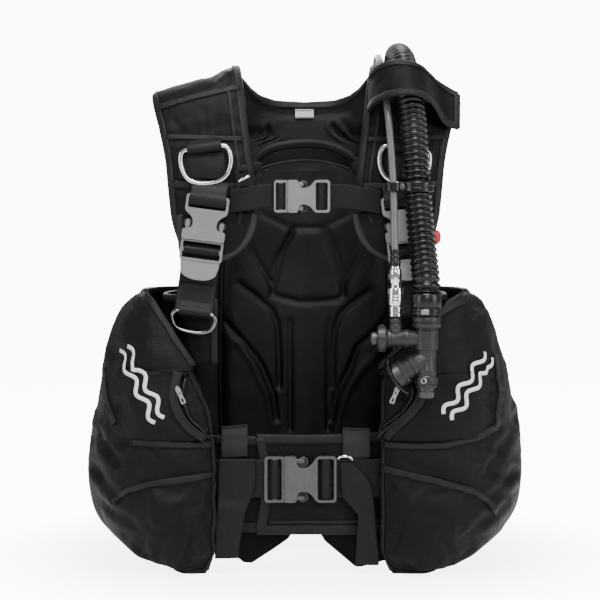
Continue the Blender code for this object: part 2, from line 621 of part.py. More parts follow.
boolean(mouth, cyl("mouth_bore", 9, 9, tuple(mp0 - neck_dir * 4), tuple(mp0 + neck_dir * 30), helper=True, seg=16), "DIFFERENCE")
# quick-disconnect coupling with its sliding collar
turned("qd_coupling", [(6.2, 62), (6.2, 60), (7.6, 58), (7.6, 41), (6.4, 40), (6.4, 14), (8.6, 13), (8.6, 1), (5.0, 0), (5.0, 62), (6.2, 62)], (110, Y, 326.6), (0, 0, 1), CHROME)
turned("qd_collar", [(9.2, 35), (9.8, 33), (9.8, 16), (9.2, 14.5), (6.8, 14.5), (6.8, 35), (9.2, 35)], (110, Y, 326.6), (0, 0, 1), CHROME)
LP_PATH = [(110, -150, 389.2), (109.8, -148, 402), (109, -138, 430), (109, -126, 470), (107, -111, 525), (103, -92, 580), (98, -58, 629), (95, -15, 653), (94, 30, 655),
           (94, 78, 637), (95, 112, 596), (97, 125, 545), (99, 128, 490), (100, 128, 430), (100, 128, 370), (100, 127, 316)]
tube("lp_hose", spline_points(LP_PATH, 64), LP_R, HOSE, res=2)
fit = cyl("lp_hose_fitting", 7.4, 7.4, (100, 127, 315.4), (100, 127, 300), STEEL, seg=6)
boolean(fit, cyl("lp_fitting_thread", 4.6, 4.6, (100, 127, 302), (100, 127, 288), helper=True), "UNION")
# band that ties both hoses together
zc = 486
hp = (138.6, -115.3)
lp_c = (108.4, -121.8)
clip = cyl("hose_clip", HOSE_R + 3.6, HOSE_R + 3.6, (hp[0], hp[1], zc - 6), (hp[0], hp[1], zc + 6), BLACK, seg=24)
boolean(clip, cyl("clip_small", 10.5, 10.5, (lp_c[0], lp_c[1], zc - 5.5), (lp_c[0], lp_c[1], zc + 5.5), helper=True), "UNION")
boolean(clip, cyl("clip_bore", HOSE_R + 1.5, HOSE_R + 1.5, (hp[0] - .9, hp[1] + 3.0, zc + 20), (hp[0] + .9, hp[1] - 3.0, zc - 20), helper=True, seg=24), "DIFFERENCE")
boolean(clip, cyl("clip_bore2", LP_R + 1.1, LP_R + 1.1, (lp_c[0] - .1, lp_c[1] + 4.6, zc + 20), (lp_c[0] + .1, lp_c[1] - 4.0, zc - 20), helper=True), "DIFFERENCE")
# cable tie that clamps the hose on the inflator
tie = cyl("hose_tie", HOSE_R + 2.4, HOSE_R + 2.4, (X, Y, 337.5), (X, Y, 329), STEEL, seg=24)
boolean(tie, cyl("tie_bore", 15.2, 15.2, (X, Y, 345), (X, Y, 325), helper=True, seg=24), "DIFFERENCE")

# wide flap on the left shoulder that closes over both hoses
def wrap_rows():
    rows = []
    for t in (0.0, 0.33, 0.66, 1.0):
        row = []
        for (xa, ya, za), (xb, yb, zb) in zip(WRAP[0], WRAP[1]):
            row.append((xa + (xb - xa) * t, ya + (yb - ya) * t, za + (zb - za) * t))
        rows.append(row)
    return rows


WRAP = ([(82, -44, 630), (88, -58, 636), (97, -70, 641), (112, -78, 644), (130, -82, 643), (146, -74, 638), (156, -58, 631), (170, -46, 620), (196, -42, 606)],
        [(80, -64, 582), (86, -84, 590), (97, -103, 596), (114, -119, 600), (134, -122, 600), (152, -112, 594), (164, -92, 583), (176, -70, 567), (194, -60, 560)])
sheet("hose_wrap", wrap_rows(), 2.6, WEB)

# ------------------------------------------------------------------ dump valve and its pull
valve = turned("dump_valve", [(0, 15), (14, 15), (19, 12.5), (23, 7), (23, 0), (0, 0)], (146, 105.4, 492), (0, 1, 0), BLACK)
pull = cyl("dump_pull", 0.9, 0.9, (177, 112, 490), (177, 112, 430), WHITE, seg=8)
boolean(pull, turned("dump_bead", [(0, 9.5), (3.6, 8), (6, 3), (6, -3), (3.6, -8), (0, -9.5)], (177, 112, 425), (0, 0, 1), RED, seg=12), "UNION")
bead = bpy.data.objects["dump_bead"]
bead.hide_render = True
bead.display_type = "WIRE"
boolean(valve, box("dump_guide", (26, 5, 5), (166, 112, 480), helper=True), "UNION")
boolean(valve, cyl("dump_guide_bore", 1.7, 1.7, (177, 112, 470), (177, 112, 490), helper=True, seg=10), "DIFFERENCE")

# ------------------------------------------------------------------ tank band and cam buckle
TC = 118 + TANK_R
pts = [(-82.3, 117.5), (-82.1, 111.5), (-79.6, 108.0), (-70, 107.2), (-36, 107.2), (0, 107.2), (36, 107.2), (70, 107.2), (79.6, 108.0), (82.1, 111.5), (82.3, 117.5)]
R = TANK_R + 1.2
for a in (-36, -22, -8, 6, 20, 34, 48, 62, 74, 86, 93):
    pts.append((R * math.cos(math.radians(a)), TC + R * math.sin(math.radians(a))))
pre = []
for a in (216, 202, 188, 174, 160, 148, 138, 131):
    pre.append((R * math.cos(math.radians(a)), TC + R * math.sin(math.radians(a))))
pts = pre[::-1] + pts
strap("tank_band", [(x, y, TANK_Z) for x, y in pts], (0, 0, 1), 50, 2.2, WEB)
am = math.radians(112)
cam_c = Vector((math.cos(am) * (R + 2.5), TC + math.sin(am) * (R + 2.5), TANK_Z))
tang = Vector((-math.sin(am), math.cos(am), 0))
outv = Vector((math.cos(am), math.sin(am), 0))
rotc = Matrix((tang, outv, tang.cross(outv))).transposed()
camf = box("cam_buckle_frame", (56, 5, 62), tuple(cam_c), BLACK, rotc, bevel=1.5)
for sx in (-21, 21):
    s = box("cam_slot_%d" % (sx > 0), (5, 12, 52), (0, 0, 0), helper=True)
    s.matrix_local = Matrix.Translation(mm(cam_c)) @ rotc.to_4x4() @ Matrix.Translation(mm((sx, 0, 0)))
    boolean(camf, s, "DIFFERENCE")
for k, sz in enumerate((-28.5, 28.5)):
    ear = box("cam_ear_%d" % k, (14, 14, 4), (0, 0, 0), helper=True)
    ear.matrix_local = Matrix.Translation(mm(cam_c)) @ rotc.to_4x4() @ Matrix.Translation(mm((-18, 7, sz)))
    boolean(camf, ear, "UNION")
    pin = cyl("cam_pin_bore_%d" % k, 2.6, 2.6, (0, 0, -6), (0, 0, 6), helper=True, seg=12)
    pin.matrix_local = Matrix.Translation(mm(cam_c)) @ rotc.to_4x4() @ Matrix.Translation(mm((-18, 9, sz)))
    boolean(camf, pin, "DIFFERENCE")
hp_ = cam_c + rotc @ Vector((-18, 9, 0))
lever = box("cam_lever", (66, 5, 51), (0, 0, 0), BLACK, bevel=1.2)
for p in lever.data.vertices:
    p.co += mm((31, 0, 0))
lever.matrix_local = Matrix.Translation(mm(hp_)) @ rotc.to_4x4()
pinl = cyl("cam_pin", 2.2, 2.2, (0, 0, -31), (0, 0, 31), helper=True, seg=12)
pinl.matrix_local = Matrix.Translation(mm(hp_)) @ rotc.to_4x4() @ Matrix.Translation(mm((0, 0, 0)))
boolean(lever, pinl, "UNION")

# ------------------------------------------------------------------ pocket zip pulls
for side, word in ((-1, "right"), (1, "left")):
    p = lobe_point(side, 0.90 if side < 0 else 0.93, 226, lobe_half(0.9, 226) + 9.0)
    d = Vector((side * -0.40, 0, -0.92))
    f = strap_frame(d)
    box(word + "_zip_pull", (16, 6.5, 3.0), p, STEEL, f, bevel=0.8)
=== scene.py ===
"""Looks for the buoyancy vest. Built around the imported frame; lengths in mm unless a name says otherwise."""
import bpy
import bmesh
import math
import numpy as np
from mathutils import Matrix, Vector, noise
from mathutils.bvhtree import BVHTree


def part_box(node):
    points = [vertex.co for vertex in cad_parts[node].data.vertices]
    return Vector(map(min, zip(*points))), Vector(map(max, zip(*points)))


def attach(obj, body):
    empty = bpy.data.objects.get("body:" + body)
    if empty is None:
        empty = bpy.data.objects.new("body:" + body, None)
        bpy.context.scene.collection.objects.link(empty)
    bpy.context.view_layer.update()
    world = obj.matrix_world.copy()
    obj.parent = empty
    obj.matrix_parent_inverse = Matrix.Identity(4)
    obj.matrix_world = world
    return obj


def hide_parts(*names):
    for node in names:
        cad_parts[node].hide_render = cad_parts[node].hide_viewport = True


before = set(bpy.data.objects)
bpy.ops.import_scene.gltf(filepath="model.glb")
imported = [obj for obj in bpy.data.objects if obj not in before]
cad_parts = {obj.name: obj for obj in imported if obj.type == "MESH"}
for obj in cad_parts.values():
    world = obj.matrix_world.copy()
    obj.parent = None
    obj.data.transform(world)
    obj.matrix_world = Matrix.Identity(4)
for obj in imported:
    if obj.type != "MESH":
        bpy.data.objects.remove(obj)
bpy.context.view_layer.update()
DY = -76.5          # the frame's origin lies this far from the vest's own middle plane
SC = bpy.context.scene


def pt(p):
    """mm in the vest's own measures to metres in the row frame"""
    return Vector((p[0] * 0.001, (p[1] + DY) * 0.001, p[2] * 0.001))


# ---------------------------------------------------------------- camera, light, floor
ELEV = math.radians(2.0)
# glow of the floor next to the vest, below the 11 further out: painted shadow
FLOOR_GLOW_PAINTED_SHADE = 5.2
cam_data = bpy.data.cameras.new("cam")
cam = bpy.data.objects.new("cam", cam_data)
SC.collection.objects.link(cam)
SC.camera = cam
cam_data.sensor_width = 36.0
cam_data.lens = 1923.0 * 36.0 / 600.0
cam_data.clip_end = 100
aim = pt((-6.5, 0, 342))
fwd = Vector((0, math.cos(ELEV), -math.sin(ELEV)))
cam.location = aim - fwd * 2.5
cam.rotation_euler = fwd.to_track_quat("-Z", "Y").to_euler()


def area(name, loc, target, size, power, color=(1, 1, 1), size_y=None):
    d = bpy.data.lights.new(name, "AREA")
    d.energy = power
    d.color = color
    if size_y:
        d.shape = "RECTANGLE"
        d.size, d.size_y = size, size_y
    else:
        d.shape = "SQUARE"
        d.size = size
    o = bpy.data.objects.new(name, d)
    o.location = loc
    o.rotation_euler = (Vector(target) - Vector(loc)).to_track_quat("-Z", "Y").to_euler()
    SC.collection.objects.link(o)
    return o


area("key_top", (0.15, -1.0, 2.3), (0, 0, 0.3), 1.1, 66)
area("front_left", (-2.0, -1.3, 0.9), (0, 0, 0.35), 0.8, 20, size_y=1.6)
area("front_right", (2.0, -1.2, 1.0), (0, 0, 0.35), 0.8, 24, size_y=1.6)
area("front", (0.35, -2.9, 1.55), (0, 0, 0.35), 0.6, 26)
area("rear", (0.0, 1.9, 1.6), (0, 0, 0.4), 1.6, 34)

world = bpy.data.worlds.new("studio")
SC.world = world
world.use_nodes = True
bg = world.node_tree.nodes["Background"]
bg.inputs["Color"].default_value = (1, 1, 1, 1)
# the paper behind the vest is bright to the eye, and lights it only gently
wt = world.node_tree
wl = wt.nodes.new("ShaderNodeLightPath")
wm = wt.nodes.new("ShaderNodeMath")
wm.operation = "MULTIPLY_ADD"
wm.inputs[1].default_value = 11.0
wm.inputs[2].default_value = 0.30
wt.links.new(wl.outputs["Is Camera Ray"], wm.inputs[0])
wt.links.new(wm.outputs[0], bg.inputs["Strength"])


# ---------------------------------------------------------------- materials
class Nodes:
    def __init__(self, name):
        self.m = bpy.data.materials.new(name)
        self.m.use_nodes = True
        self.t = self.m.node_tree
        self.b = self.t.nodes["Principled BSDF"]

    def add(self, kind, **k):
        n = self.t.nodes.new(kind)
        for a, v in k.items():
            setattr(n, a, v)
        return n

    def link(self, a, b):
        self.t.links.new(a, b)

    def math(self, op, a, b=None, c=None):
        n = self.add("ShaderNodeMath", operation=op)
        for i, v in enumerate((a, b, c)):
            if v is None:
                continue
            if isinstance(v, (int, float)):
                n.inputs[i].default_value = v
            else:
                self.link(v, n.inputs[i])
        return n.outputs[0]

    def coords(self, uv):
        n = self.add("ShaderNodeTexCoord")
        return n.outputs["UV" if uv else "Object"]

    def noise(self, co, scale, detail=2.0, rough=0.5):
        n = self.add("ShaderNodeTexNoise")
        self.link(co, n.inputs["Vector"])
        n.inputs["Scale"].default_value = scale
        n.inputs["Detail"].default_value = detail
        n.inputs["Roughness"].default_value = rough
        return n.outputs[0]

    def ramp(self, fac, stops):
        n = self.add("ShaderNodeValToRGB")
        e = n.color_ramp.elements
        while len(e) < len(stops):
            e.new(0.5)
        for el, (p, c) in zip(e, stops):
            el.position = p
            el.color = (c[0], c[1], c[2], 1) if not isinstance(c, (int, float)) else (c, c, c, 1)
        self.link(fac, n.inputs["Fac"])
        return n.outputs["Color"]

    def wave(self, co, axis, scale, profile="SIN", distort=0.0):
        n = self.add("ShaderNodeTexWave", wave_type="BANDS", bands_direction=axis, wave_profile=profile)
        self.link(co, n.inputs["Vector"])
        n.inputs["Scale"].default_value = scale
        n.inputs["Distortion"].default_value = distort
        n.inputs["Detail"].default_value = 1.0
        n.inputs["Detail Scale"].default_value = 2.0
        return n.outputs["Fac"]

    def bump(self, height, strength, dist, normal=None):
        n = self.add("ShaderNodeBump")
        n.inputs["Strength"].default_value = strength
        n.inputs["Distance"].default_value = dist
        self.link(height, n.inputs["Height"])
        if normal is not None:
            self.link(normal, n.inputs["Normal"])
        return n.outputs["Normal"]


def band(period_mm):
    """Wave Texture scale that gives this period on coordinates in metres"""
    return 2 * math.pi / (20 * period_mm * 0.001)


def fabric(name, dark, light, rough=0.78, sheen=0.35, weave=0.7, uv=True, twill=False, tint=(1, 1, 1.03), lumps=1.0, spec=0.35, bump=0.55):
    n = Nodes(name)
    co = n.coords(uv)
    wu = n.wave(co, "X", band(weave))
    wv = n.wave(co, "Y", band(weave))
    if twill:
        wd = n.wave(co, "DIAGONAL", band(weave * 1.6))
        w = n.math("MAXIMUM", n.math("MULTIPLY", wu, wd), n.math("MULTIPLY", wv, n.math("SUBTRACT", 1.0, wd)))
    else:
        # plain weave: over and under threads alternate like a checker of rounded bumps
        a = n.math("ABSOLUTE", n.math("SUBTRACT", wu, wv))
        w = n.math("SUBTRACT", 1.0, a)
    obj = n.coords(False)
    big = n.noise(obj, 14.0, 3.0, 0.55)
    mid = n.noise(obj, 120.0, 3.0, 0.6)
    fine = n.noise(obj, 900.0, 2.0, 0.6)
    f = n.math("ADD", n.math("MULTIPLY", w, 0.30), n.math("ADD", n.math("MULTIPLY", big, 0.42), n.math("MULTIPLY", fine, 0.28)))
    col = n.ramp(f, [(0.22, tuple(dark * t for t in tint)), (0.80, tuple(light * t for t in tint))])
    n.link(col, n.b.inputs["Base Color"])
    r = n.ramp(n.math("ADD", n.math("MULTIPLY", big, 0.5), n.math("MULTIPLY", w, 0.5)), [(0.2, min(1, rough + 0.10)), (0.8, rough - 0.10)])
    n.link(r, n.b.inputs["Roughness"])
    b1 = n.bump(n.math("ADD", n.math("MULTIPLY", big, 0.6), n.math("MULTIPLY", mid, 0.4)), 0.35 * lumps, 0.004)
    b2 = n.bump(n.math("ADD", w, n.math("MULTIPLY", fine, 0.6)), bump, 0.00022, b1)
    n.link(b2, n.b.inputs["Normal"])
    n.b.inputs["Sheen Weight"].default_value = sheen
    n.b.inputs["Sheen Roughness"].default_value = 0.45
    n.b.inputs["Specular IOR Level"].default_value = spec
    return n.m


def plastic(name, dark, light, rough, grain=0.35, spec=0.5, coat=0.0, tint=(1, 1, 1.01), scale=1.0, uv=False):
    n = Nodes(name)
    obj = n.coords(uv)
    big = n.noise(obj, 35.0 * scale, 3.0, 0.6)
    fine = n.noise(obj, 1400.0 * scale, 2.0, 0.65)
    scr = n.noise(obj, 260.0 * scale, 5.0, 0.7)
    f = n.math("ADD", n.math("MULTIPLY", big, 0.6), n.math("MULTIPLY", scr, 0.4))
    col = n.ramp(f, [(0.3, tuple(dark * t for t in tint)), (0.72, tuple(light * t for t in tint))])
    n.link(col, n.b.inputs["Base Color"])
    n.link(n.ramp(scr, [(0.3, min(1.0, rough + 0.08)), (0.7, max(0.02, rough - 0.07))]), n.b.inputs["Roughness"])
    n.link(n.bump(n.math("ADD", fine, n.math("MULTIPLY", scr, 0.5)), grain, 0.00012), n.b.inputs["Normal"])
    n.b.inputs["Specular IOR Level"].default_value = spec
    if coat:
        n.b.inputs["Coat Weight"].default_value = coat
        n.b.inputs["Coat Roughness"].default_value = 0.12
    return n.m


def metal(name, dark, light, rough, brush=0.0):
    n = Nodes(name)
    obj = n.coords(False)
    big = n.noise(obj, 40.0, 3.0, 0.6)
    fine = n.noise(obj, 700.0, 4.0, 0.7)
    n.link(n.ramp(n.math("ADD", n.math("MULTIPLY", big, 0.5), n.math("MULTIPLY", fine, 0.5)), [(0.3, dark), (0.7, light)]), n.b.inputs["Base Color"])
    n.link(n.ramp(fine, [(0.3, rough + 0.06), (0.7, max(0.03, rough - 0.05))]), n.b.inputs["Roughness"])
    n.link(n.bump(fine, 0.08 + brush, 0.00005), n.b.inputs["Normal"])
    n.b.inputs["Metallic"].default_value = 1.0
    return n.m


SHELL = fabric("shell_nylon", 0.0010, 0.0030, rough=0.46, sheen=0.015, weave=0.75, spec=0.145, lumps=1.8)
SHELL2 = fabric("shell_nylon_inner", 0.0030, 0.0062, rough=0.50, sheen=0.04, weave=0.75, spec=0.26)
YOKE = fabric("yoke_nylon", 0.0012, 0.0034, rough=0.48, sheen=0.015, weave=0.85, twill=True, spec=0.135)
PADF = fabric("pad_cloth", 0.0009, 0.0024, rough=0.44, sheen=0.02, weave=1.5, lumps=0.6, tint=(1, 1, 1.10), bump=0.8, spec=0.20)
BIND = fabric("binding_tape", 0.0024, 0.0056, rough=0.44, sheen=0.03, weave=0.9, lumps=0.4, spec=0.24)
# lighter copy of the binding tape for the yoke ends: painted light on the rolled edge
BIND_LIT = fabric("binding_tape_worn", 0.0060, 0.0120, rough=0.44, sheen=0.05, weave=0.9, lumps=0.4, spec=0.36)
WEBM = fabric("webbing_weave", 0.0020, 0.0048, rough=0.50, sheen=0.035, weave=1.9, twill=True, lumps=0.25, bump=0.9, spec=0.22)
ELAST = fabric("elastic_band", 0.0026, 0.0060, rough=0.42, sheen=0.03, weave=1.3, lumps=0.3, bump=0.8, spec=0.36)
LOOP = fabric("loop_fabric", 0.0010, 0.0026, rough=0.95, sheen=0.06, weave=1.3, lumps=0.5, spec=0.2)
THREAD = fabric("thread", 0.012, 0.022, rough=0.6, sheen=0.15, weave=0.5, lumps=0.1)
MARK = fabric("printed_white", 0.62, 0.76, rough=0.55, sheen=0.05, weave=0.75, lumps=0.2, tint=(1, 1, 1))
LABEL = fabric("label_white", 0.55, 0.72, rough=0.7, sheen=0.1, weave=0.5, lumps=0.1, tint=(1, 1, 1))
GREY = plastic("acetal_grey", 0.142, 0.175, 0.36, grain=0.14)
# darker copy of the grey buckle plastic, for the waist buckle and its thumb pads: painted shade
GREY_SHADED = plastic("acetal_grey_dark", 0.042, 0.062, 0.26, grain=0.09, spec=0.55)
BLACKP = plastic("moulded_black", 0.0032, 0.0064, 0.27, grain=0.08, spec=0.38)
PLATE = plastic("plate_black", 0.010, 0.018, 0.42, grain=0.9)
RUBBER = plastic("hose_rubber", 0.0012, 0.0028, 0.30, grain=0.0, spec=0.42)
JACKET = plastic("hose_jacket", 0.070, 0.100, 0.22, grain=0.05, spec=0.7)
REDP = plastic("red_bead", 0.50, 0.62, 0.28, grain=0.1, tint=(1, 0.03, 0.04))
CORD = fabric("white_cord", 0.50, 0.70, rough=0.7, sheen=0.2, weave=0.6, lumps=0.1, uv=False)
STEEL = metal("stainless_wire", 0.62, 0.78, 0.16)
# darker copy of the stainless wire for the lower rings: painted shade
STEEL_SHADED = metal("stainless_wire_dull", 0.16, 0.26, 0.24)
CHROME = metal("chromed_brass", 0.78, 0.90, 0.10)
ZIPM = metal("zip_metal", 0.30, 0.52, 0.30, 0.1)
INFL = plastic("inflator_moulding", 0.0120, 0.0190, 0.40, grain=0.02, spec=0.40)
BUTTON = plastic("button_grey", 0.030, 0.048, 0.36, grain=0.3)

# the floor is pale, with a faint variation; to the camera it glows, dimmer within about half a metre of the vest, which
# paints a soft shadow around it
nf = Nodes("floor_paper")
fo = nf.coords(False)
nf.link(nf.ramp(nf.noise(fo, 3.0, 2.0), [(0.3, 0.90), (0.7, 0.93)]), nf.b.inputs["Base Color"])
nf.b.inputs["Roughness"].default_value = 0.9
nf.b.inputs["Specular IOR Level"].default_value = 0.1
nf.b.inputs["Emission Color"].default_value = (1, 1, 1, 1)
# camera-only glow, rising from the painted shadow at the vest to full white further out
fl_path = nf.add("ShaderNodeLightPath")
fl_len = nf.add("ShaderNodeVectorMath", operation="LENGTH")
nf.link(fo, fl_len.inputs[0])
fl_map = nf.add("ShaderNodeMapRange", interpolation_type="SMOOTHSTEP")
for i_, v_ in ((1, 0.24), (2, 0.52), (3, FLOOR_GLOW_PAINTED_SHADE), (4, 11.0)):
    fl_map.inputs[i_].default_value = v_
nf.link(fl_len.outputs["Value"], fl_map.inputs[0])
nf.link(nf.math("MULTIPLY", fl_path.outputs["Is Camera Ray"], fl_map.outputs[0]), nf.b.inputs["Emission Strength"])


# ---------------------------------------------------------------- mesh helpers
def new_object(name, verts, faces, mat, uvs=None, smooth=True, sub=0):
    """verts in vest mm"""
    me = bpy.data.meshes.new(name)
    me.from_pydata([pt(v) for v in verts], [], faces)
    if uvs is not None:
        lay = me.uv_layers.new(name="UVMap")
        for poly in me.polygons:
            for li in poly.loop_indices:
                lay.data[li].uv = uvs[me.loops[li].vertex_index]
    me.materials.append(mat)
    if smooth:
        me.shade_smooth()
    me.update()
    ob = bpy.data.objects.new(name, me)
    SC.collection.objects.link(ob)
    if sub:
        s = ob.modifiers.new("sub", "SUBSURF")
        s.levels = s.render_levels = sub
    return ob


def normals_of(P):
    """normals of a grid of points; rows x columns x 3"""
    du = np.gradient(P, axis=1)
    dv = np.gradient(P, axis=0)
    n = np.cross(du, dv)
    return n / np.maximum(np.linalg.norm(n, axis=2, keepdims=True), 1e-9)


class Surf:
    """a grid of points that can be sampled at (u, v) in 0..1; u runs along a row, v from the first row to the last"""

    def __init__(self, P, flip=False):
        self.P = np.array(P, float)
        self.N = normals_of(self.P) * (-1 if flip else 1)

    def _s(self, A, u, v):
        nr, nc = A.shape[:2]
        x, y = u * (nc - 1), v * (nr - 1)
        i = int(min(max(math.floor(x), 0), nc - 2))
        j = int(min(max(math.floor(y), 0), nr - 2))
        fx, fy = x - i, y - j
        return ((A[j, i] * (1 - fx) + A[j, i + 1] * fx) * (1 - fy) + (A[j + 1, i] * (1 - fx) + A[j + 1, i + 1] * fx) * fy)

    def at(self, u, v):
        n = self._s(self.N, min(max(u, 0), 1), min(max(v, 0), 1))
        return self._s(self.P, u, v), n / np.linalg.norm(n)

    def moved(self, u, v, vec):
        """(u, v) after going vec mm along the surface"""
        e = 0.01
        p0 = self._s(self.P, u, v)
        pu = (self._s(self.P, u + e, v) - p0) / e
        pv = (self._s(self.P, u, v + e) - p0) / e
        A = np.stack([pu, pv], axis=1)
        d, *_ = np.linalg.lstsq(A, vec, rcond=None)
        return u + d[0], v + d[1]


def grid_uv(P):
    du = np.linalg.norm(np.diff(P, axis=1), axis=2).mean(axis=0)
    dv = np.linalg.norm(np.diff(P, axis=0), axis=2).mean(axis=1)
    return np.concatenate([[0], np.cumsum(du)]) * 0.001, np.concatenate([[0], np.cumsum(dv)]) * 0.001


def pillow(name, C, half, mat, N=None, sub=1, closed_u=False):
    """closed body around the grid C: half is how far each side stands off, mm. Returns the object and its two faces as Surf."""
    C = np.array(C, float)
    N = normals_of(C) if N is None else N
    h = np.array(half, float)
    if h.ndim == 0:
        h = np.full(C.shape[:2], float(h))
    top, bot = C + N * h[..., None], C - N * h[..., None]
    nr, nc = C.shape[:2]
    gu, gv = grid_uv(C)
    verts = [tuple(p) for p in top.reshape(-1, 3)] + [tuple(p) for p in bot.reshape(-1, 3)]
    uvs = [(gu[i], gv[j]) for j in range(nr) for i in range(nc)] * 2
    k = nr * nc
    faces = []
    cols = nc if closed_u else nc - 1
    for j in range(nr - 1):
        for i in range(cols):
            a, b = j * nc + i, j * nc + (i + 1) % nc
            c, d = (j + 1) * nc + (i + 1) % nc, (j + 1) * nc + i
            faces.append((a, b, c, d))
            faces.append((k + a, k + d, k + c, k + b))
    for i in range(cols):
        a, b = i, (i + 1) % nc
        faces.append((a, k + a, k + b, b))
        a, b = (nr - 1) * nc + i, (nr - 1) * nc + (i + 1) % nc
        faces.append((b, k + b, k + a, a))
    if not closed_u:
        for j in range(nr - 1):
            a, b = j * nc, (j + 1) * nc
            faces.append((b, k + b, k + a, a))
            a, b = j * nc + nc - 1, (j + 1) * nc + nc - 1
            faces.append((a, k + a, k + b, b))
    ob = new_object(name, verts, faces, mat, uvs, sub=sub)
    ob["k"] = k
    return ob, Surf(top), Surf(bot)


def puff(ob, C, pin_top, pin_bot, pressure, frames=18, grow=0.03, cap=14.0, bend=0.6, tens=12.0):
    """pressure in a cloth skin held along its seams; the result is written into the mesh"""
    nr, nc = C.shape[:2]
    k = nr * nc
    me = ob.data
    g = ob.vertex_groups.new(name="pin")
    for arr, base in ((pin_top, 0), (pin_bot, k)):
        for i, w in enumerate(np.asarray(arr).reshape(-1)):
            if w > 0.01:
                g.add([base + i], float(min(w, 1.0)), "REPLACE")
    rest = np.empty(len(me.vertices) * 3)
    me.vertices.foreach_get("co", rest)
    subs = [(m.name, m.levels) for m in ob.modifiers]
    for m in list(ob.modifiers):
        ob.modifiers.remove(m)
    c = ob.modifiers.new("cloth", "CLOTH")
    s = c.settings
    s.quality = 6
    s.mass = 0.25
    s.tension_stiffness = s.compression_stiffness = tens
    s.shear_stiffness = 5
    s.bending_stiffness = bend
    s.tension_damping = s.compression_damping = 8
    s.air_damping = 2
    s.use_pressure = True
    s.uniform_pressure_force = pressure
    s.vertex_group_mass = "pin"
    s.pin_stiffness = 1.0
    s.shrink_min = -grow
    s.effector_weights.gravity = 0
    c.collision_settings.use_collision = False
    c.collision_settings.use_self_collision = False
    c.point_cache.frame_start, c.point_cache.frame_end = 1, frames + 1
    for f in range(1, frames + 1):
        SC.frame_set(f)
    dg = bpy.context.evaluated_depsgraph_get()
    ev = ob.evaluated_get(dg).to_mesh()
    new = np.empty(len(me.vertices) * 3)
    ev.vertices.foreach_get("co", new)
    ob.evaluated_get(dg).to_mesh_clear()
    ob.modifiers.remove(c)
    SC.frame_set(1)
    d = (new - rest).reshape(-1, 3)
    ln = np.linalg.norm(d, axis=1, keepdims=True)
    lim = cap * 0.001
    d *= np.where(ln > lim, (lim + (ln - lim) * 0.15) / np.maximum(ln, 1e-9), 1.0)
    me.vertices.foreach_set("co", (rest.reshape(-1, 3) + d).reshape(-1))
    me.update()
    for n_, l_ in subs:
        m = ob.modifiers.new(n_, "SUBSURF")
        m.levels = m.render_levels = l_
    return surf_of(ob, nr, nc)


def surf_of(ob, nr, nc):
    co = np.empty(len(ob.data.vertices) * 3)
    ob.data.vertices.foreach_get("co", co)
    co = co.reshape(-1, 3) * 1000.0
    co[:, 1] -= DY
    k = nr * nc
    return Surf(co[:k].reshape(nr, nc, 3)), Surf(co[k:2 * k].reshape(nr, nc, 3))


def cat(pts, n):
    """n points evenly along a Catmull-Rom curve"""
    p = [np.array(q, float) for q in pts]
    p = [2 * p[0] - p[1]] + p + [2 * p[-1] - p[-2]]
    fine = []
    for i in range(len(p) - 3):
        a, b, c, d = p[i:i + 4]
        for k in range(24):
            t = k / 24
            fine.append(0.5 * ((2 * b) + (c - a) * t + (2 * a - 5 * b + 4 * c - d) * t * t + (3 * b - a - 3 * c + d) * t ** 3))
    fine.append(p[-2])
    fine = np.array(fine)
    s = np.concatenate([[0], np.cumsum(np.linalg.norm(np.diff(fine, axis=0), axis=1))])
    at = np.linspace(0, s[-1], n)
    return np.stack([np.interp(at, s, fine[:, k]) for k in range(fine.shape[1])], axis=1)


def lin(pts, step):
    """points every step mm along a polyline"""
    p = np.array(pts, float)
    s = np.concatenate([[0], np.cumsum(np.linalg.norm(np.diff(p, axis=0), axis=1))])
    n = max(2, int(s[-1] / step) + 1)
    at = np.linspace(0, s[-1], n)
    return np.stack([np.interp(at, s, p[:, k]) for k in range(p.shape[1])], axis=1)


def smooth_rows(P, times, axis=0):
    P = P.copy()
    for _ in range(times):
        Q = P.copy()
        if axis == 0:
            Q[1:-1] = (P[:-2] + 2 * P[1:-1] + P[2:]) / 4
        else:
            Q[:, 1:-1] = (P[:, :-2] + 2 * P[:, 1:-1] + P[:, 2:]) / 4
        P = Q
    return P


def tape(name, surf, uvpath, width, mat, off=0.9, thick=1.1, body="vest", step=4.0, sub=0, sides=1):
    """flat tape sewn on a surface along (u, v) points"""
    P3 = [surf.at(u, v)[0] for u, v in uvpath]
    # even steps by real length
    s = np.concatenate([[0], np.cumsum([np.linalg.norm(b - a) for a, b in zip(P3, P3[1:])])])
    n = max(3, int(s[-1] / step) + 1)
    at = np.linspace(0, s[-1], n)
    U = np.interp(at, s, [p[0] for p in uvpath])
    V = np.interp(at, s, [p[1] for p in uvpath])
    C = [surf.at(u, v) for u, v in zip(U, V)]
    rows = []
    nn = []
    for i in range(n):
        a, b = C[max(i - 1, 0)][0], C[min(i + 1, n - 1)][0]
        t = (b - a) / max(np.linalg.norm(b - a), 1e-9)
        nrm = C[i][1]
        br = np.cross(nrm, t)
        row, nrow = [], []
        for f in (-0.5, -0.44, -0.2, 0.0, 0.2, 0.44, 0.5):
            uu, vv = surf.moved(U[i], V[i], br * width * f)
            p, m = surf.at(uu, vv)
            lift = off + thick * 0.5 if abs(f) < 0.45 else off * 0.3
            row.append(p + m * lift * sides)
            nrow.append(m * sides)
        rows.append(row)
        nn.append(nrow)
    ob, *_ = pillow(name, np.array(rows), thick / 2, mat, N=np.array(nn), sub=sub)
    return ob


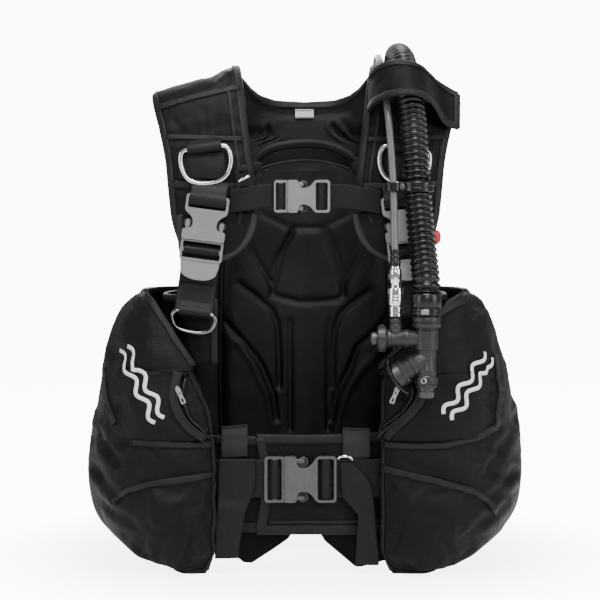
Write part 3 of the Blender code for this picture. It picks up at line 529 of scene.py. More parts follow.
def bound_edge(name, top, bot, uvpath, inward, width, mat, thick=1.0, out=1.2, step=5.0):
    """binding folded over the edge of a pillow; inward gives the direction into the panel in (u, v)"""
    P3 = [top.at(u, v)[0] for u, v in uvpath]
    s = np.concatenate([[0], np.cumsum([np.linalg.norm(b - a) for a, b in zip(P3, P3[1:])])])
    n = max(3, int(s[-1] / step) + 1)
    at = np.linspace(0, s[-1], n)
    U = np.interp(at, s, [p[0] for p in uvpath])
    V = np.interp(at, s, [p[1] for p in uvpath])
    rows = []
    for i in range(n):
        u, v = U[i], V[i]
        pt_, nt = top.at(u, v)
        pb_, nb = bot.at(u, v)
        u2, v2 = u + inward[0] * 0.02, v + inward[1] * 0.02
        din = (top.at(u2, v2)[0] - pt_)
        din = din / max(np.linalg.norm(din), 1e-9)
        row = []
        for f in (1.0, 0.66, 0.3, 0.06):
            uu, vv = top.moved(u, v, din * width * f)
            p, m = top.at(uu, vv)
            row.append(p + nt * 0 + m * 0.7)
        mid = (pt_ + pb_) / 2 - din * out
        nn = (pt_ - pb_)
        nn = nn / max(np.linalg.norm(nn), 1e-9)
        hgt = np.linalg.norm(pt_ - pb_) / 2
        row += [pt_ - din * out * 0.6 + nn * 0.1, mid + nn * hgt * 0.5, mid - nn * hgt * 0.5, pb_ - din * out * 0.6 - nn * 0.1]
        for f in (0.06, 0.3, 0.66, 1.0):
            uu, vv = bot.moved(u, v, din * width * f)
            p, m = bot.at(uu, vv)
            sgn = -1.0 if np.dot(m, nn) > 0 else 1.0
            row.append(p + m * sgn * 0.7)
        rows.append(row)
    ob, *_ = pillow(name, np.array(rows), thick / 2, mat, sub=0)
    return ob


def ribbon(name, path, across, width, thick, mat, n=None, sub=1, edge=0.45):
    """webbing along a path, its edges rounded; across is a vector or a list that matches the path"""
    path = np.array(path, float)
    ac = np.array(across, float)
    if ac.ndim == 1:
        ac = np.tile(ac, (len(path), 1))
    both = np.concatenate([path, ac], axis=1)
    if n:
        p = [tuple(r) for r in both]
        seg = cat(p, n) if len(p) > 2 else lin(p, np.linalg.norm(path[-1] - path[0]) / (n - 1))
        both = np.array(seg)
    rows, half = [], []
    for r in both:
        a = r[3:] / np.linalg.norm(r[3:])
        rows.append([r[:3] + a * width * f for f in (-0.5, -0.47, -0.25, 0, 0.25, 0.47, 0.5)])
        half.append([thick * edge * 0.5, thick * 0.5, thick * 0.5, thick * 0.5, thick * 0.5, thick * 0.5, thick * edge * 0.5])
    ob, a, b = pillow(name, np.array(rows), np.array(half), mat, sub=sub)
    return ob, a, b


def sweep(name, path, section, mat, closed=False, up=(0, 0, 1), scale=None, cap=True, sub=0, uvlen=True):
    """a section (list of (a, b)) carried along a path with a steady frame"""
    P = np.array(path, float)
    n = len(P)
    T = np.gradient(P, axis=0) if not closed else (np.roll(P, -1, 0) - np.roll(P, 1, 0))
    T /= np.linalg.norm(T, axis=1, keepdims=True)
    ref = np.array(up, float)
    if abs(ref @ T[0]) > 0.95:
        ref = np.array((0, 1.0, 0))
    X = ref - T[0] * (ref @ T[0])
    X /= np.linalg.norm(X)
    frames = []
    for i in range(n):
        if i:
            X = X - T[i] * (X @ T[i])
            X /= np.linalg.norm(X)
        frames.append((X.copy(), np.cross(T[i], X)))
    S = np.array(section, float)
    m = len(S)
    verts, uvs = [], []
    L = np.concatenate([[0], np.cumsum(np.linalg.norm(np.diff(P, axis=0), axis=1))])
    per = np.concatenate([[0], np.cumsum(np.linalg.norm(np.diff(S, axis=0), axis=1))])
    for i in range(n):
        k = 1.0 if scale is None else scale[i]
        for j, (a, b) in enumerate(S):
            verts.append(tuple(P[i] + frames[i][0] * a * k + frames[i][1] * b * k))
            uvs.append((per[j] * 0.001, L[i] * 0.001))
    faces = []
    for i in range(n if closed else n - 1):
        for j in range(m):
            a, b = i * m + j, i * m + (j + 1) % m
            c, d = ((i + 1) % n) * m + (j + 1) % m, ((i + 1) % n) * m + j
            faces.append((a, b, c, d))
    if cap and not closed:
        faces.append(tuple(range(m))[::-1])
        faces.append(tuple((n - 1) * m + j for j in range(m)))
    return new_object(name, verts, faces, mat, uvs, sub=sub)


def circle(r, m=16):
    return [(r * math.cos(2 * math.pi * i / m), r * math.sin(2 * math.pi * i / m)) for i in range(m)]


def rot_to(d, up=(0, 0, 1)):
    """columns: x, y, z=d"""
    z = Vector(d).normalized()
    u = Vector(up)
    if abs(z.dot(u)) > 0.98:
        u = Vector((0, 1, 0))
    x = u.cross(z).normalized()
    y = z.cross(x)
    return Matrix((x, y, z)).transposed()


def lathe(name, profile, p0, d, mat, seg=48, bevel=0.0, smooth_angle=35):
    """profile of (radius, height) from one end to the other, turned about the axis through p0 along d; closed where the radius is 0"""
    R = rot_to(d)
    verts, faces = [], []
    rings = []
    for r, h in profile:
        if r <= 1e-6:
            rings.append([len(verts)])
            verts.append(tuple(Vector(p0) + R @ Vector((0, 0, h))))
        else:
            ids = []
            for i in range(seg):
                a = 2 * math.pi * i / seg
                ids.append(len(verts))
                verts.append(tuple(Vector(p0) + R @ Vector((r * math.cos(a), r * math.sin(a), h))))
            rings.append(ids)
    for a, b in zip(rings, rings[1:]):
        if len(a) == 1 and len(b) > 1:
            for i in range(seg):
                faces.append((a[0], b[(i + 1) % seg], b[i]))
        elif len(b) == 1 and len(a) > 1:
            for i in range(seg):
                faces.append((a[i], a[(i + 1) % seg], b[0]))
        elif len(a) > 1:
            for i in range(seg):
                faces.append((a[i], a[(i + 1) % seg], b[(i + 1) % seg], b[i]))
    ob = new_object(name, verts, faces, mat, None)
    fix_normals(ob)
    ob.data.set_sharp_from_angle(angle=math.radians(smooth_angle))
    if bevel:
        bv = ob.modifiers.new("bevel", "BEVEL")
        bv.width = bevel * 0.001
        bv.segments = 2
        bv.limit_method = "ANGLE"
        bv.angle_limit = math.radians(40)
        bv.harden_normals = False
    return ob


def fix_normals(ob):
    bm = bmesh.new()
    bm.from_mesh(ob.data)
    bmesh.ops.recalc_face_normals(bm, faces=bm.faces)
    bm.to_mesh(ob.data)
    bm.free()


def extruded(name, loops, z0, z1, mat, base, bevel=0.8, seg=3, crown=None):
    """flat outline with holes, local XY, from height z0 to z1, at matrix base (mm); edges rounded. crown(x, y, side) lifts points."""
    cu = bpy.data.curves.new(name, "CURVE")
    cu.dimensions = "2D"
    cu.fill_mode = "BOTH"
    cu.extrude = abs(z1 - z0) * 0.5
    for pts in loops:
        sp = cu.splines.new("POLY")
        sp.points.add(len(pts) - 1)
        for q, p in zip(sp.points, pts):
            q.co = (p[0], p[1], 0, 1)
        sp.use_cyclic_u = True
    tmp = bpy.data.objects.new(name + "_c", cu)
    SC.collection.objects.link(tmp)
    bpy.context.view_layer.update()
    me = bpy.data.meshes.new_from_object(tmp.evaluated_get(bpy.context.evaluated_depsgraph_get()))
    bpy.data.objects.remove(tmp, do_unlink=True)
    bm = bmesh.new()
    bm.from_mesh(me)
    bmesh.ops.remove_doubles(bm, verts=bm.verts, dist=0.01)
    bmesh.ops.dissolve_limit(bm, angle_limit=0.01, verts=bm.verts, edges=bm.edges)
    bmesh.ops.recalc_face_normals(bm, faces=bm.faces)
    for v in bm.verts:
        z = v.co.z + (z0 + z1) / 2
        if crown:
            z += crown(v.co.x, v.co.y, 1 if v.co.z > 0 else -1)
        w = base @ Vector((v.co.x, v.co.y, z))
        v.co = pt(w)
    bmesh.ops.recalc_face_normals(bm, faces=bm.faces)
    bm.to_mesh(me)
    bm.free()
    me.materials.clear()
    me.materials.append(mat)
    ob = bpy.data.objects.new(name, me)
    SC.collection.objects.link(ob)
    if bevel:
        b = ob.modifiers.new("bevel", "BEVEL")
        b.width = bevel * 0.001
        b.segments = seg
        b.limit_method = "ANGLE"
        b.angle_limit = math.radians(50)
        b.harden_normals = True
    ob.data.shade_smooth()
    ob.data.set_sharp_from_angle(angle=math.radians(45))
    return ob


def rrect(w, h, r, cx=0.0, cy=0.0, n=5):
    pts = []
    for k, (sx, sy) in enumerate([(1, 1), (-1, 1), (-1, -1), (1, -1)]):
        for i in range(n + 1):
            a = math.radians(90 * k + 90 * i / n)
            pts.append((cx + sx * (w / 2 - r) + r * math.cos(a), cy + sy * (h / 2 - r) + r * math.sin(a)))
    return pts


def strap_frame(d):
    x = Vector(d).normalized()
    z = Vector((0, -1, 0))
    z = (z - x * z.dot(x)).normalized()
    return Matrix((x, z.cross(x), z)).transposed()


def at_frame(loc, rot):
    return Matrix.Translation(Vector(loc)) @ rot.to_4x4()


def go(ob, body="vest", *replaced, slot=None):
    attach(ob, body)
    if replaced:
        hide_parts(*replaced)
    return ob


def ip(table, v):
    return float(np.interp(v, [t[0] for t in table], [t[1] for t in table]))


# shallow folds of the stuffed lobes, (|x|, z) to (|x|, z) with depth and width
CREASES = [((262, 176), (236, 140), 3.2, 4.5), ((268, 130), (232, 96), 3.0, 5.0), ((254, 86), (214, 66), 3.4, 4.5), ((226, 48), (196, 66), 2.8, 4.0), ((186, 30), (170, 58), 3.0, 4.0),
           ((150, 24), (138, 52), 2.6, 3.6), ((112, 40), (124, 78), 2.2, 3.5), ((108, 120), (130, 132), 2.0, 3.5), ((210, 30), (182, 20), 2.6, 4.0), 
           ((116, 176), (142, 170), 1.8, 3.2), ((160, 108), (196, 118), 1.6, 4.5), ((140, 88), (180, 80), 1.6, 4.5),
           ((212, 330), (186, 316), 2.4, 4.0), ((176, 338), (160, 318), 2.4, 4.0), ((250, 160), (222, 172), 1.8, 4.0)]


def wob(p, f, seed=0.0):
    """smooth noise at a point in mm, features f mm across"""
    return noise.noise(Vector((p[0] / f + seed, p[1] / f + seed * 1.7, p[2] / f - seed)))


# ================================================================ air lobes
def orient(S, R):
    """makes a sampled face's normals point the way R says"""
    if float(np.mean(np.sum(S.N * R, axis=2))) < 0:
        S.N = -S.N
    return S


LOBE_PATH = [(151, 97), (205, 91), (241, 60), (258, 8), (252, -46), (226, -84), (182, -106), (142, -109), (114, -101)]
LOBE_K = [(0, .06), (4, .12), (15, .30), (41, .60), (60, .84), (80, .95), (112, 1), (151, .985), (202, .955), (254, .90), (305, .76), (340, .60), (357, .52)]
LOBE_KY = [(0, .80), (15, .88), (41, .95), (80, 1), (202, 1), (254, .97), (305, .91), (357, .80)]
LOBE_END = {-1: [(0, 7.6), (30, 8), (155, 8), (203, 7.78), (232, 7.35), (256, 7.0), (277, 6.75), (305, 6.1), (330, 5.2), (357, 4.1)],
            1: [(0, 7.6), (30, 8), (246, 8), (277, 7.0), (305, 6.1), (330, 5.2), (357, 4.1)]}
LOBE_THICK = [(0, 7), (8, 20), (30, 33), (80, 38), (220, 36), (300, 27), (340, 15), (357, 6)]
SHIFT = {-1: 0.0, 1: -18.0}


def lobe_centre(side, t, z):
    n = len(LOBE_PATH) - 1
    i = min(int(t), n - 1)
    f = t - i
    q = [np.array(LOBE_PATH[min(max(j, 0), n)], float) for j in (i - 1, i, i + 1, i + 2)]
    if i == 0:
        q[0] = 2 * q[1] - q[2]
    if i == n - 1:
        q[3] = 2 * q[2] - q[1]
    a, b, c, d = q
    x, y = 0.5 * (2 * b + (c - a) * f + (2 * a - 5 * b + 4 * c - d) * f * f + (3 * b - a - 3 * c + d) * f ** 3)
    k, ky = ip(LOBE_K, z), ip(LOBE_KY, z)
    x = 151 + (x - 151) * (k if x > 151 else 1.0) + SHIFT[side] * max(0.0, min(1.0, (t - 5.5) / 2.5))
    y = y * ky if y < 0 else 97 - (97 - y) * (0.6 + 0.4 * k)
    return x, y


def lobe_grid(side, nz=72, nu=92):
    rows = []
    for z in np.linspace(1.5, 356, nz):
        pts = np.array([(*lobe_centre(side, t, z), z) for t in np.linspace(0, ip(LOBE_END[side], z), 70)])
        s = np.concatenate([[0], np.cumsum(np.linalg.norm(np.diff(pts, axis=0), axis=1))])
        at = np.linspace(0, s[-1], nu)
        row = np.stack([np.interp(at, s, pts[:, k]) for k in range(3)], axis=1)
        row[:, 0] *= side
        rows.append(row)
    P = np.array(rows)
    return smooth_rows(smooth_rows(P, 3), 2, axis=1)


def dist_to(poly, X, Z):
    best = np.full(X.shape, 1e9)
    for (x0, z0), (x1, z1) in zip(poly, poly[1:]):
        dx, dz = x1 - x0, z1 - z0
        t = np.clip(((X - x0) * dx + (Z - z0) * dz) / (dx * dx + dz * dz), 0, 1)
        best = np.minimum(best, np.hypot(X - x0 - t * dx, Z - z0 - t * dz))
    return best


SEAMS = {
    -1: {"s1": [(-117, 166), (-150, 167), (-185, 168), (-214, 169)],
         "s2": [(-117, 128), (-150, 124), (-190, 118), (-222, 108), (-241, 92)],
         "side": [(-257, 256), (-252, 226), (-247, 205), (-238, 190)],
         "mouth": [(-118, 171), (-132, 179), (-152, 199), (-162, 225), (-156, 256)]},
    1: {"s1": [(99, 166), (135, 165), (172, 166), (211, 174), (240, 186)],
        "s2": [(97, 136), (130, 129), (166, 121), (211, 107), (233, 90), (240, 76)],
        "side": [(240, 276), (246, 225), (240, 186)],
        "mouth": [(98, 178), (109, 190), (129, 206), (142, 226), (140, 252)]},
}


def uv_near(S, x, z, front=True):
    """(u, v) of the surface point that shows at (x, z) from the front"""
    d = (S.P[..., 0] - x) ** 2 + (S.P[..., 2] - z) ** 2
    if front:
        d = d + np.where(S.P[..., 1] > 10, 1e6, 0)
    j, i = np.unravel_index(np.argmin(d), d.shape)
    nr, nc = d.shape
    u, v = i / (nc - 1), j / (nr - 1)
    for _ in range(3):
        p, n = S.at(u, v)
        r = np.array((x - p[0], 0, z - p[2]))
        e = 0.01
        p0 = S._s(S.P, u, v)
        pu = (S._s(S.P, u + e, v) - p0) / e
        pv = (S._s(S.P, u, v + e) - p0) / e
        A = np.array([[pu[0], pv[0]], [pu[2], pv[2]]])
        if abs(np.linalg.det(A)) < 1e3:
            break
        du, dv = np.linalg.solve(A, [r[0], r[2]])
        u, v = min(max(u + du, 0), 1), min(max(v + dv, 0), 1)
    return u, v


def on_front(S, x, z):
    u, v = uv_near(S, x, z)
    p, n = S.at(u, v)
    pu = S._s(S.P, min(u, 0.99) + 0.01, v) - S._s(S.P, min(u, 0.99), v)
    if abs(x - p[0]) > 0.8 and abs(pu[0]) > 1e-6:
        k = (x - p[0]) / pu[0]
        p = p + pu * max(-6, min(6, k))
    return p, n


def front_patch(name, S, rows, ncol, off, mat, half=1.4, sub=1):
    """a layer over a front face: rows of (z, x at its free side, x at its sewn side); off(a, b) is the lift of its middle"""
    zs = [r[0] for r in rows]
    nz = max(6, int((zs[-1] - zs[0]) / 4.5))
    C, N = [], []
    for j, z in enumerate(np.linspace(zs[0], zs[-1], nz)):
        xa = float(np.interp(z, zs, [r[1] for r in rows]))
        xb = float(np.interp(z, zs, [r[2] for r in rows]))
        crow, nrow = [], []
        for i in range(ncol):
            a = i / (ncol - 1)
            x = xa + (xb - xa) * a
            p, n = on_front(S, x, z)
            crow.append(p + n * off(a, j / (nz - 1)))
            nrow.append(n)
        C.append(crow)
        N.append(nrow)
    C = smooth_rows(smooth_rows(np.array(C), 2), 2, axis=1)
    N = np.array(N)
    ob, T, B = pillow(name, C, half, mat, N=N, sub=sub)
    fix_normals(ob)
    return ob, orient(T, N), orient(B, -N)


def uv_line(S, pts, step=6.0):
    return [uv_near(S, x, z) for x, z in lin(pts, step)]


LOBES = {}
for side, word in ((-1, "right"), (1, "left")):
    C = lobe_grid(side)
    nz, nu = C.shape[:2]
    U = np.linspace(0, 1, nu)[None, :]
    Zr = C[:, 0, 2]
    prof = (1 - np.abs(2 * U - 1) ** 7) ** 0.5
    th = np.array([ip(LOBE_THICK, z) for z in Zr])[:, None] / 2
    end_v = np.clip(1 - (np.abs(np.linspace(-1, 1, nz)) ** 14), 0, 1)[:, None] ** 0.5
    half = 2.0 + (th * 0.88 - 2.0).clip(0.2) * prof * end_v
    N = normals_of(C) * (1 if side < 0 else -1)
    ob, T, B = pillow(word + "_lobe_shell", C, half, SHELL, N=N, sub=1)
    fix_normals(ob)
    Xs, Zs, Ys = C[..., 0], C[..., 2], C[..., 1]
    pin = np.zeros((nz, nu))
    for key, poly in SEAMS[side].items():
        d = dist_to(poly, Xs, Zs)
        w = np.clip(1 - (d - 3.5) / 6.0, 0, 1)
        pin = np.maximum(pin, np.where(Ys < 5, w, 0))
    # quilting on the side and back, out of the front view
    for zq in (118, 240):
        w = np.clip(1 - (np.abs(Zs - zq) - 2.5) / 6.0, 0, 1)
        pin = np.maximum(pin, np.where(Ys > 20, w * 0.9, 0))
    pin[:, :3] = pin[:, -2:] = 1
    pin[:2] = pin[-2:] = 1
    pinb = np.full((nz, nu), 0.9)
    T, B = puff(ob, C, pin, pinb, pressure=2.6, frames=16, grow=0.035, cap=11.0, bend=0.8)
    orient(T, N)
    orient(B, -N)
    # light creases that run in from the sewn lines
    me = ob.data
    co = np.empty(len(me.vertices) * 3)
    me.vertices.foreach_get("co", co)
    co = co.reshape(-1, 3)
    k = nz * nu
    for idx in range(k):
        j, i = divmod(idx, nu)
        p = T.P[j, i]
        a = wob(p, 38, 3.0 * side) * 2.2 + wob((p[0], p[1], p[2] * 2.2), 17, 9.0) * 1.0
        a *= 1 - pin[j, i] * 0.8
        for q0, q1, dp, wd_ in CREASES:
            d_ = dist_to([q0, q1], np.array([abs(p[0]) + (0 if side < 0 else 3)]), np.array([p[2] + (0 if side < 0 else 4)]))[0]
            if d_ < 30:
                a += -dp * math.exp(-(d_ / wd_) ** 2) + 0.55 * dp * math.exp(-((d_ - 2.3 * wd_) / (1.2 * wd_)) ** 2)
        T.P[j, i] = p + T.N[j, i] * a
        co[idx] = pt(T.P[j, i])
    me.vertices.foreach_set("co", co.reshape(-1))
    me.update()
    T = orient(Surf(T.P), N)
    go(ob, word + "_lobe", word + "_lobe", slot="shell")
    LOBES[side] = (T, B, C, N)
    body = word + "_lobe"

    # folded binding along the front edge, the slanted top edge and the bottom
    for key, path, inw in (("front", [(1, 0.012), (1, 0.5), (1, 0.99)], (-1, 0)), ("top", [(0.01, 1), (0.5, 1), (0.99, 1)], (0, -1)),
                           ("bottom", [(0.01, 0), (0.5, 0), (0.99, 0)], (0, 1))):
        b = bound_edge(word + "_lobe_binding_" + key, T, B, path, inw, 9.0, BIND)
        fix_normals(b)
        go(b, body, slot="binding")

    # outer layer: the pocket panel with its slanted mouth, and the pointed flap over it
    mouth = SEAMS[side]["mouth"]
    mx = [abs(x) for x, z in mouth]
    mz = [z for x, z in mouth]
    out_x = 232 if side < 0 else 236

    def panel_off(a, b):
        return 1.0 + 3.0 * (1 - a) ** 0.7 * (1 if a < 0.999 else 0) - 2.6 * max(0, (a - 0.8) / 0.2) + 1.6 * math.sin(math.pi * min(1, a * 1.1)) * math.sin(math.pi * b)

    rows = [(z, side * float(np.interp(z, mz, mx)), side * (out_x - (z - 171) * 0.02)) for z in np.linspace(172, mz[-1] + 2, 12)]
    panel, PT, PB = front_patch(word + "_pocket_panel", T, rows, 30, panel_off, SHELL)
    go(panel, body, word + "_pocket", slot="shell")
    # binding on the pocket's mouth, doubled, with the zip's teeth under it
    path = [(0.0, v) for v in np.linspace(0.0, 1.0, 24)]
    b = tape(word + "_pocket_mouth_binding", PT, [(0.045, v) for v in np.linspace(0.02, 0.98, 24)], 10, BIND, off=1.2, thick=1.3)
    go(b, body, slot="binding")
    b = tape(word + "_pocket_mouth_piping", PT, [(-0.015, v) for v in np.linspace(0.02, 0.98, 24)], 3.2, BIND, off=0.9, thick=2.0)
    go(b, body, slot="binding")
    # zip tape and coil in the slit
    zl = [(abs_x * side, z) for abs_x, z in zip(np.interp(np.linspace(180, 250, 14), mz, mx) - 8.0, np.linspace(180, 250, 14))]
    zt = tape(word + "_zip_tape", T, uv_line(T, zl), 13, LOOP, off=0.4, thick=0.8)
    go(zt, body, slot="binding")
    zc = [T.at(*uv) for uv in uv_line(T, zl, 2.0)]
    coil = sweep(word + "_zip_coil", [p + n * 1.9 for p, n in zc], [(1.0 * math.cos(a), 2.2 * math.sin(a)) for a in np.linspace(0, 2 * math.pi, 9)[:-1]], BLACKP, up=(0, -1, 0),
                 scale=[1.0 if i % 2 else 0.72 for i in range(len(zc))])
    go(coil, body, slot="black_plastic")

    # flap: a pointed corner that hangs over the mouth, merging into the panel behind it
    if side < 0:
        frows = [(251, -150, -196), (255, -141, -200), (262, -143.5, -206), (277, -153, -216), (300, -168, -226), (325, -184, -226), (346, -199, -222)]
    else:
        frows = [(243, 104, 160), (249, 96, 166), (258, 99, 176), (277, 118, 196), (300, 146, 214), (325, 172, 220), (346, 192, 220)]

    def flap_off(a, b):
        return 6.2 * (1 - a) ** 1.3 + 0.2 - 2.2 * a * a + (1.5 if a < 0.2 and b < 0.2 else 0.0)

    flap, FT, FB = front_patch(word + "_pocket_flap_layer", T, frows, 18, flap_off, SHELL)
    go(flap, body, word + "_pocket_flap", slot="shell")
    b = tape(word + "_flap_binding", FT, [(0.03, v) for v in np.linspace(0.1, 0.99, 24)], 9, BIND, off=1.1, thick=1.2)
    go(b, body, slot="binding")
    b = tape(word + "_flap_hem", FT, [(u, 0.07) for u in np.linspace(0.02, 0.72, 14)], 5, SHELL, off=0.9, thick=1.0)
    go(b, body, slot="binding")

    # seam tapes
    for key, w_, off_ in (("s1", 8.5, 1.4), ("s2", 8.5, 1.1), ("side", 8.0, 1.0)):
        b = tape("%s_seam_%s" % (word, key), T, uv_line(T, SEAMS[side][key]), w_, BIND, off=off_, thick=1.3)
        go(b, body, slot="binding")
    for n_, zq in (("a", 118 / 357), ("b", 240 / 357)):
        b = tape("%s_quilt_%s" % (word, n_), T, [(u, zq) for u in np.linspace(0.03, 0.36, 30)], 8.0, BIND, off=1.1, thick=1.2)
        go(b, body, slot="binding")

    # printed mark: two plain wave lines, no lettering
    a0, a1 = (np.array((-228, 284.0)), np.array((-180, 198.0))) if side < 0 else (np.array((178, 196.0)), np.array((236, 272.0)))
    if side > 0:
        a0, a1 = np.array((176.0, 202.0)), np.array((230.0, 276.0))
    d = (a1 - a0) / np.linalg.norm(a1 - a0)
    nrm = np.array((-d[1], d[0]))
    L = np.linalg.norm(a1 - a0)
    for kk, (shift, amp, wd) in enumerate(((-6.2, 4.6, 5.0), (6.6, 4.6, 5.0))):
        line = []
        for s_ in np.linspace(0, L, 60):
            q = a0 + d * s_ + nrm * (shift + amp * math.sin(s_ / L * math.pi * 6))
            line.append((float(q[0]), float(q[1])))
        src = PT
        pts3 = []
        for x, z in line:
            p, n = on_front(T, x, z)
            # whichever layer lies outermost there
            best = p
            for LS in (PT, FT):
                dd = np.hypot(LS.P[..., 0] - x, LS.P[..., 2] - z)
                jj, ii = np.unravel_index(np.argmin(dd), dd.shape)
                if dd[jj, ii] < 6 and (LS.P[jj, ii] - best) @ n > 0:
                    u_, v_ = uv_near(LS, x, z)
                    best2 = LS.at(u_, v_)[0]
                    if (best2 - best) @ n > 0:
                        best = best2
            pts3.append((best, n))
        flat3 = np.array([q[0] for q in pts3])
        n3 = np.array([q[1] for q in pts3])
        for _ in range(2):
            up_ = (flat3 - np.roll(flat3, 1, 0))
            lift_ = flat3.copy()
            lift_[1:-1, 1] = (flat3[:-2, 1] + 2 * flat3[1:-1, 1] + flat3[2:, 1]) / 4
            lift_[:, 1] = np.minimum(lift_[:, 1], flat3[:, 1])
            flat3 = lift_
            n3[1:-1] = (n3[:-2] + 2 * n3[1:-1] + n3[2:]) / 4
        n3 /= np.linalg.norm(n3, axis=1)[:, None]
        n3 *= np.where((n3[:, 1] > 0)[:, None], -1, 1)
        pts3 = list(zip(flat3, n3))
        rows = []
        nn = []
        for i_ in range(len(pts3)):
            a_, b_ = pts3[max(i_ - 1, 0)][0], pts3[min(i_ + 1, len(pts3) - 1)][0]
            t_ = (b_ - a_) / np.linalg.norm(b_ - a_)
            n_ = pts3[i_][1]
            br = np.cross(n_, t_)
            rows.append([pts3[i_][0] + n_ * 1.0 + br * f_ * wd for f_ in (-0.5, 0, 0.5)])
            nn.append([n_] * 3)
        mk, *_ = pillow("%s_mark_%d" % (word, kk), np.array(rows), 0.15, MARK, N=np.array(nn), sub=0)
        fix_normals(mk)
        go(mk, body, slot="label")


# ================================================================ shoulder yokes
YOKE_ROWS = [(98, 150, -60, 414, 400), (79, 160, -61, 431, 420), (67, 168, -62, 452, 448), (65, 172, -62, 488, 484),
             (70, 176, -58, 530, 522), (76, 184, -49, 578, 560), (81, 192, -32, 619, 588), (85, 196, -8, 641, 604),
             (86, 197, 18, 641, 604), (86, 194, 45, 624, 590), (86, 187, 66, 592, 563), (88, 172, 75, 557, 543), (90, 166, 77, 535, 529)]


def v_on(S, u, z, front=True):
    """v where the face S passes height z, on its front run"""
    best, at = 1e9, 0
    for v in np.linspace(0, 0.56 if front else 1.0, 240):
        p = S._s(S.P, u, v)
        if abs(p[2] - z) < best:
            best, at = abs(p[2] - z), v
    return at


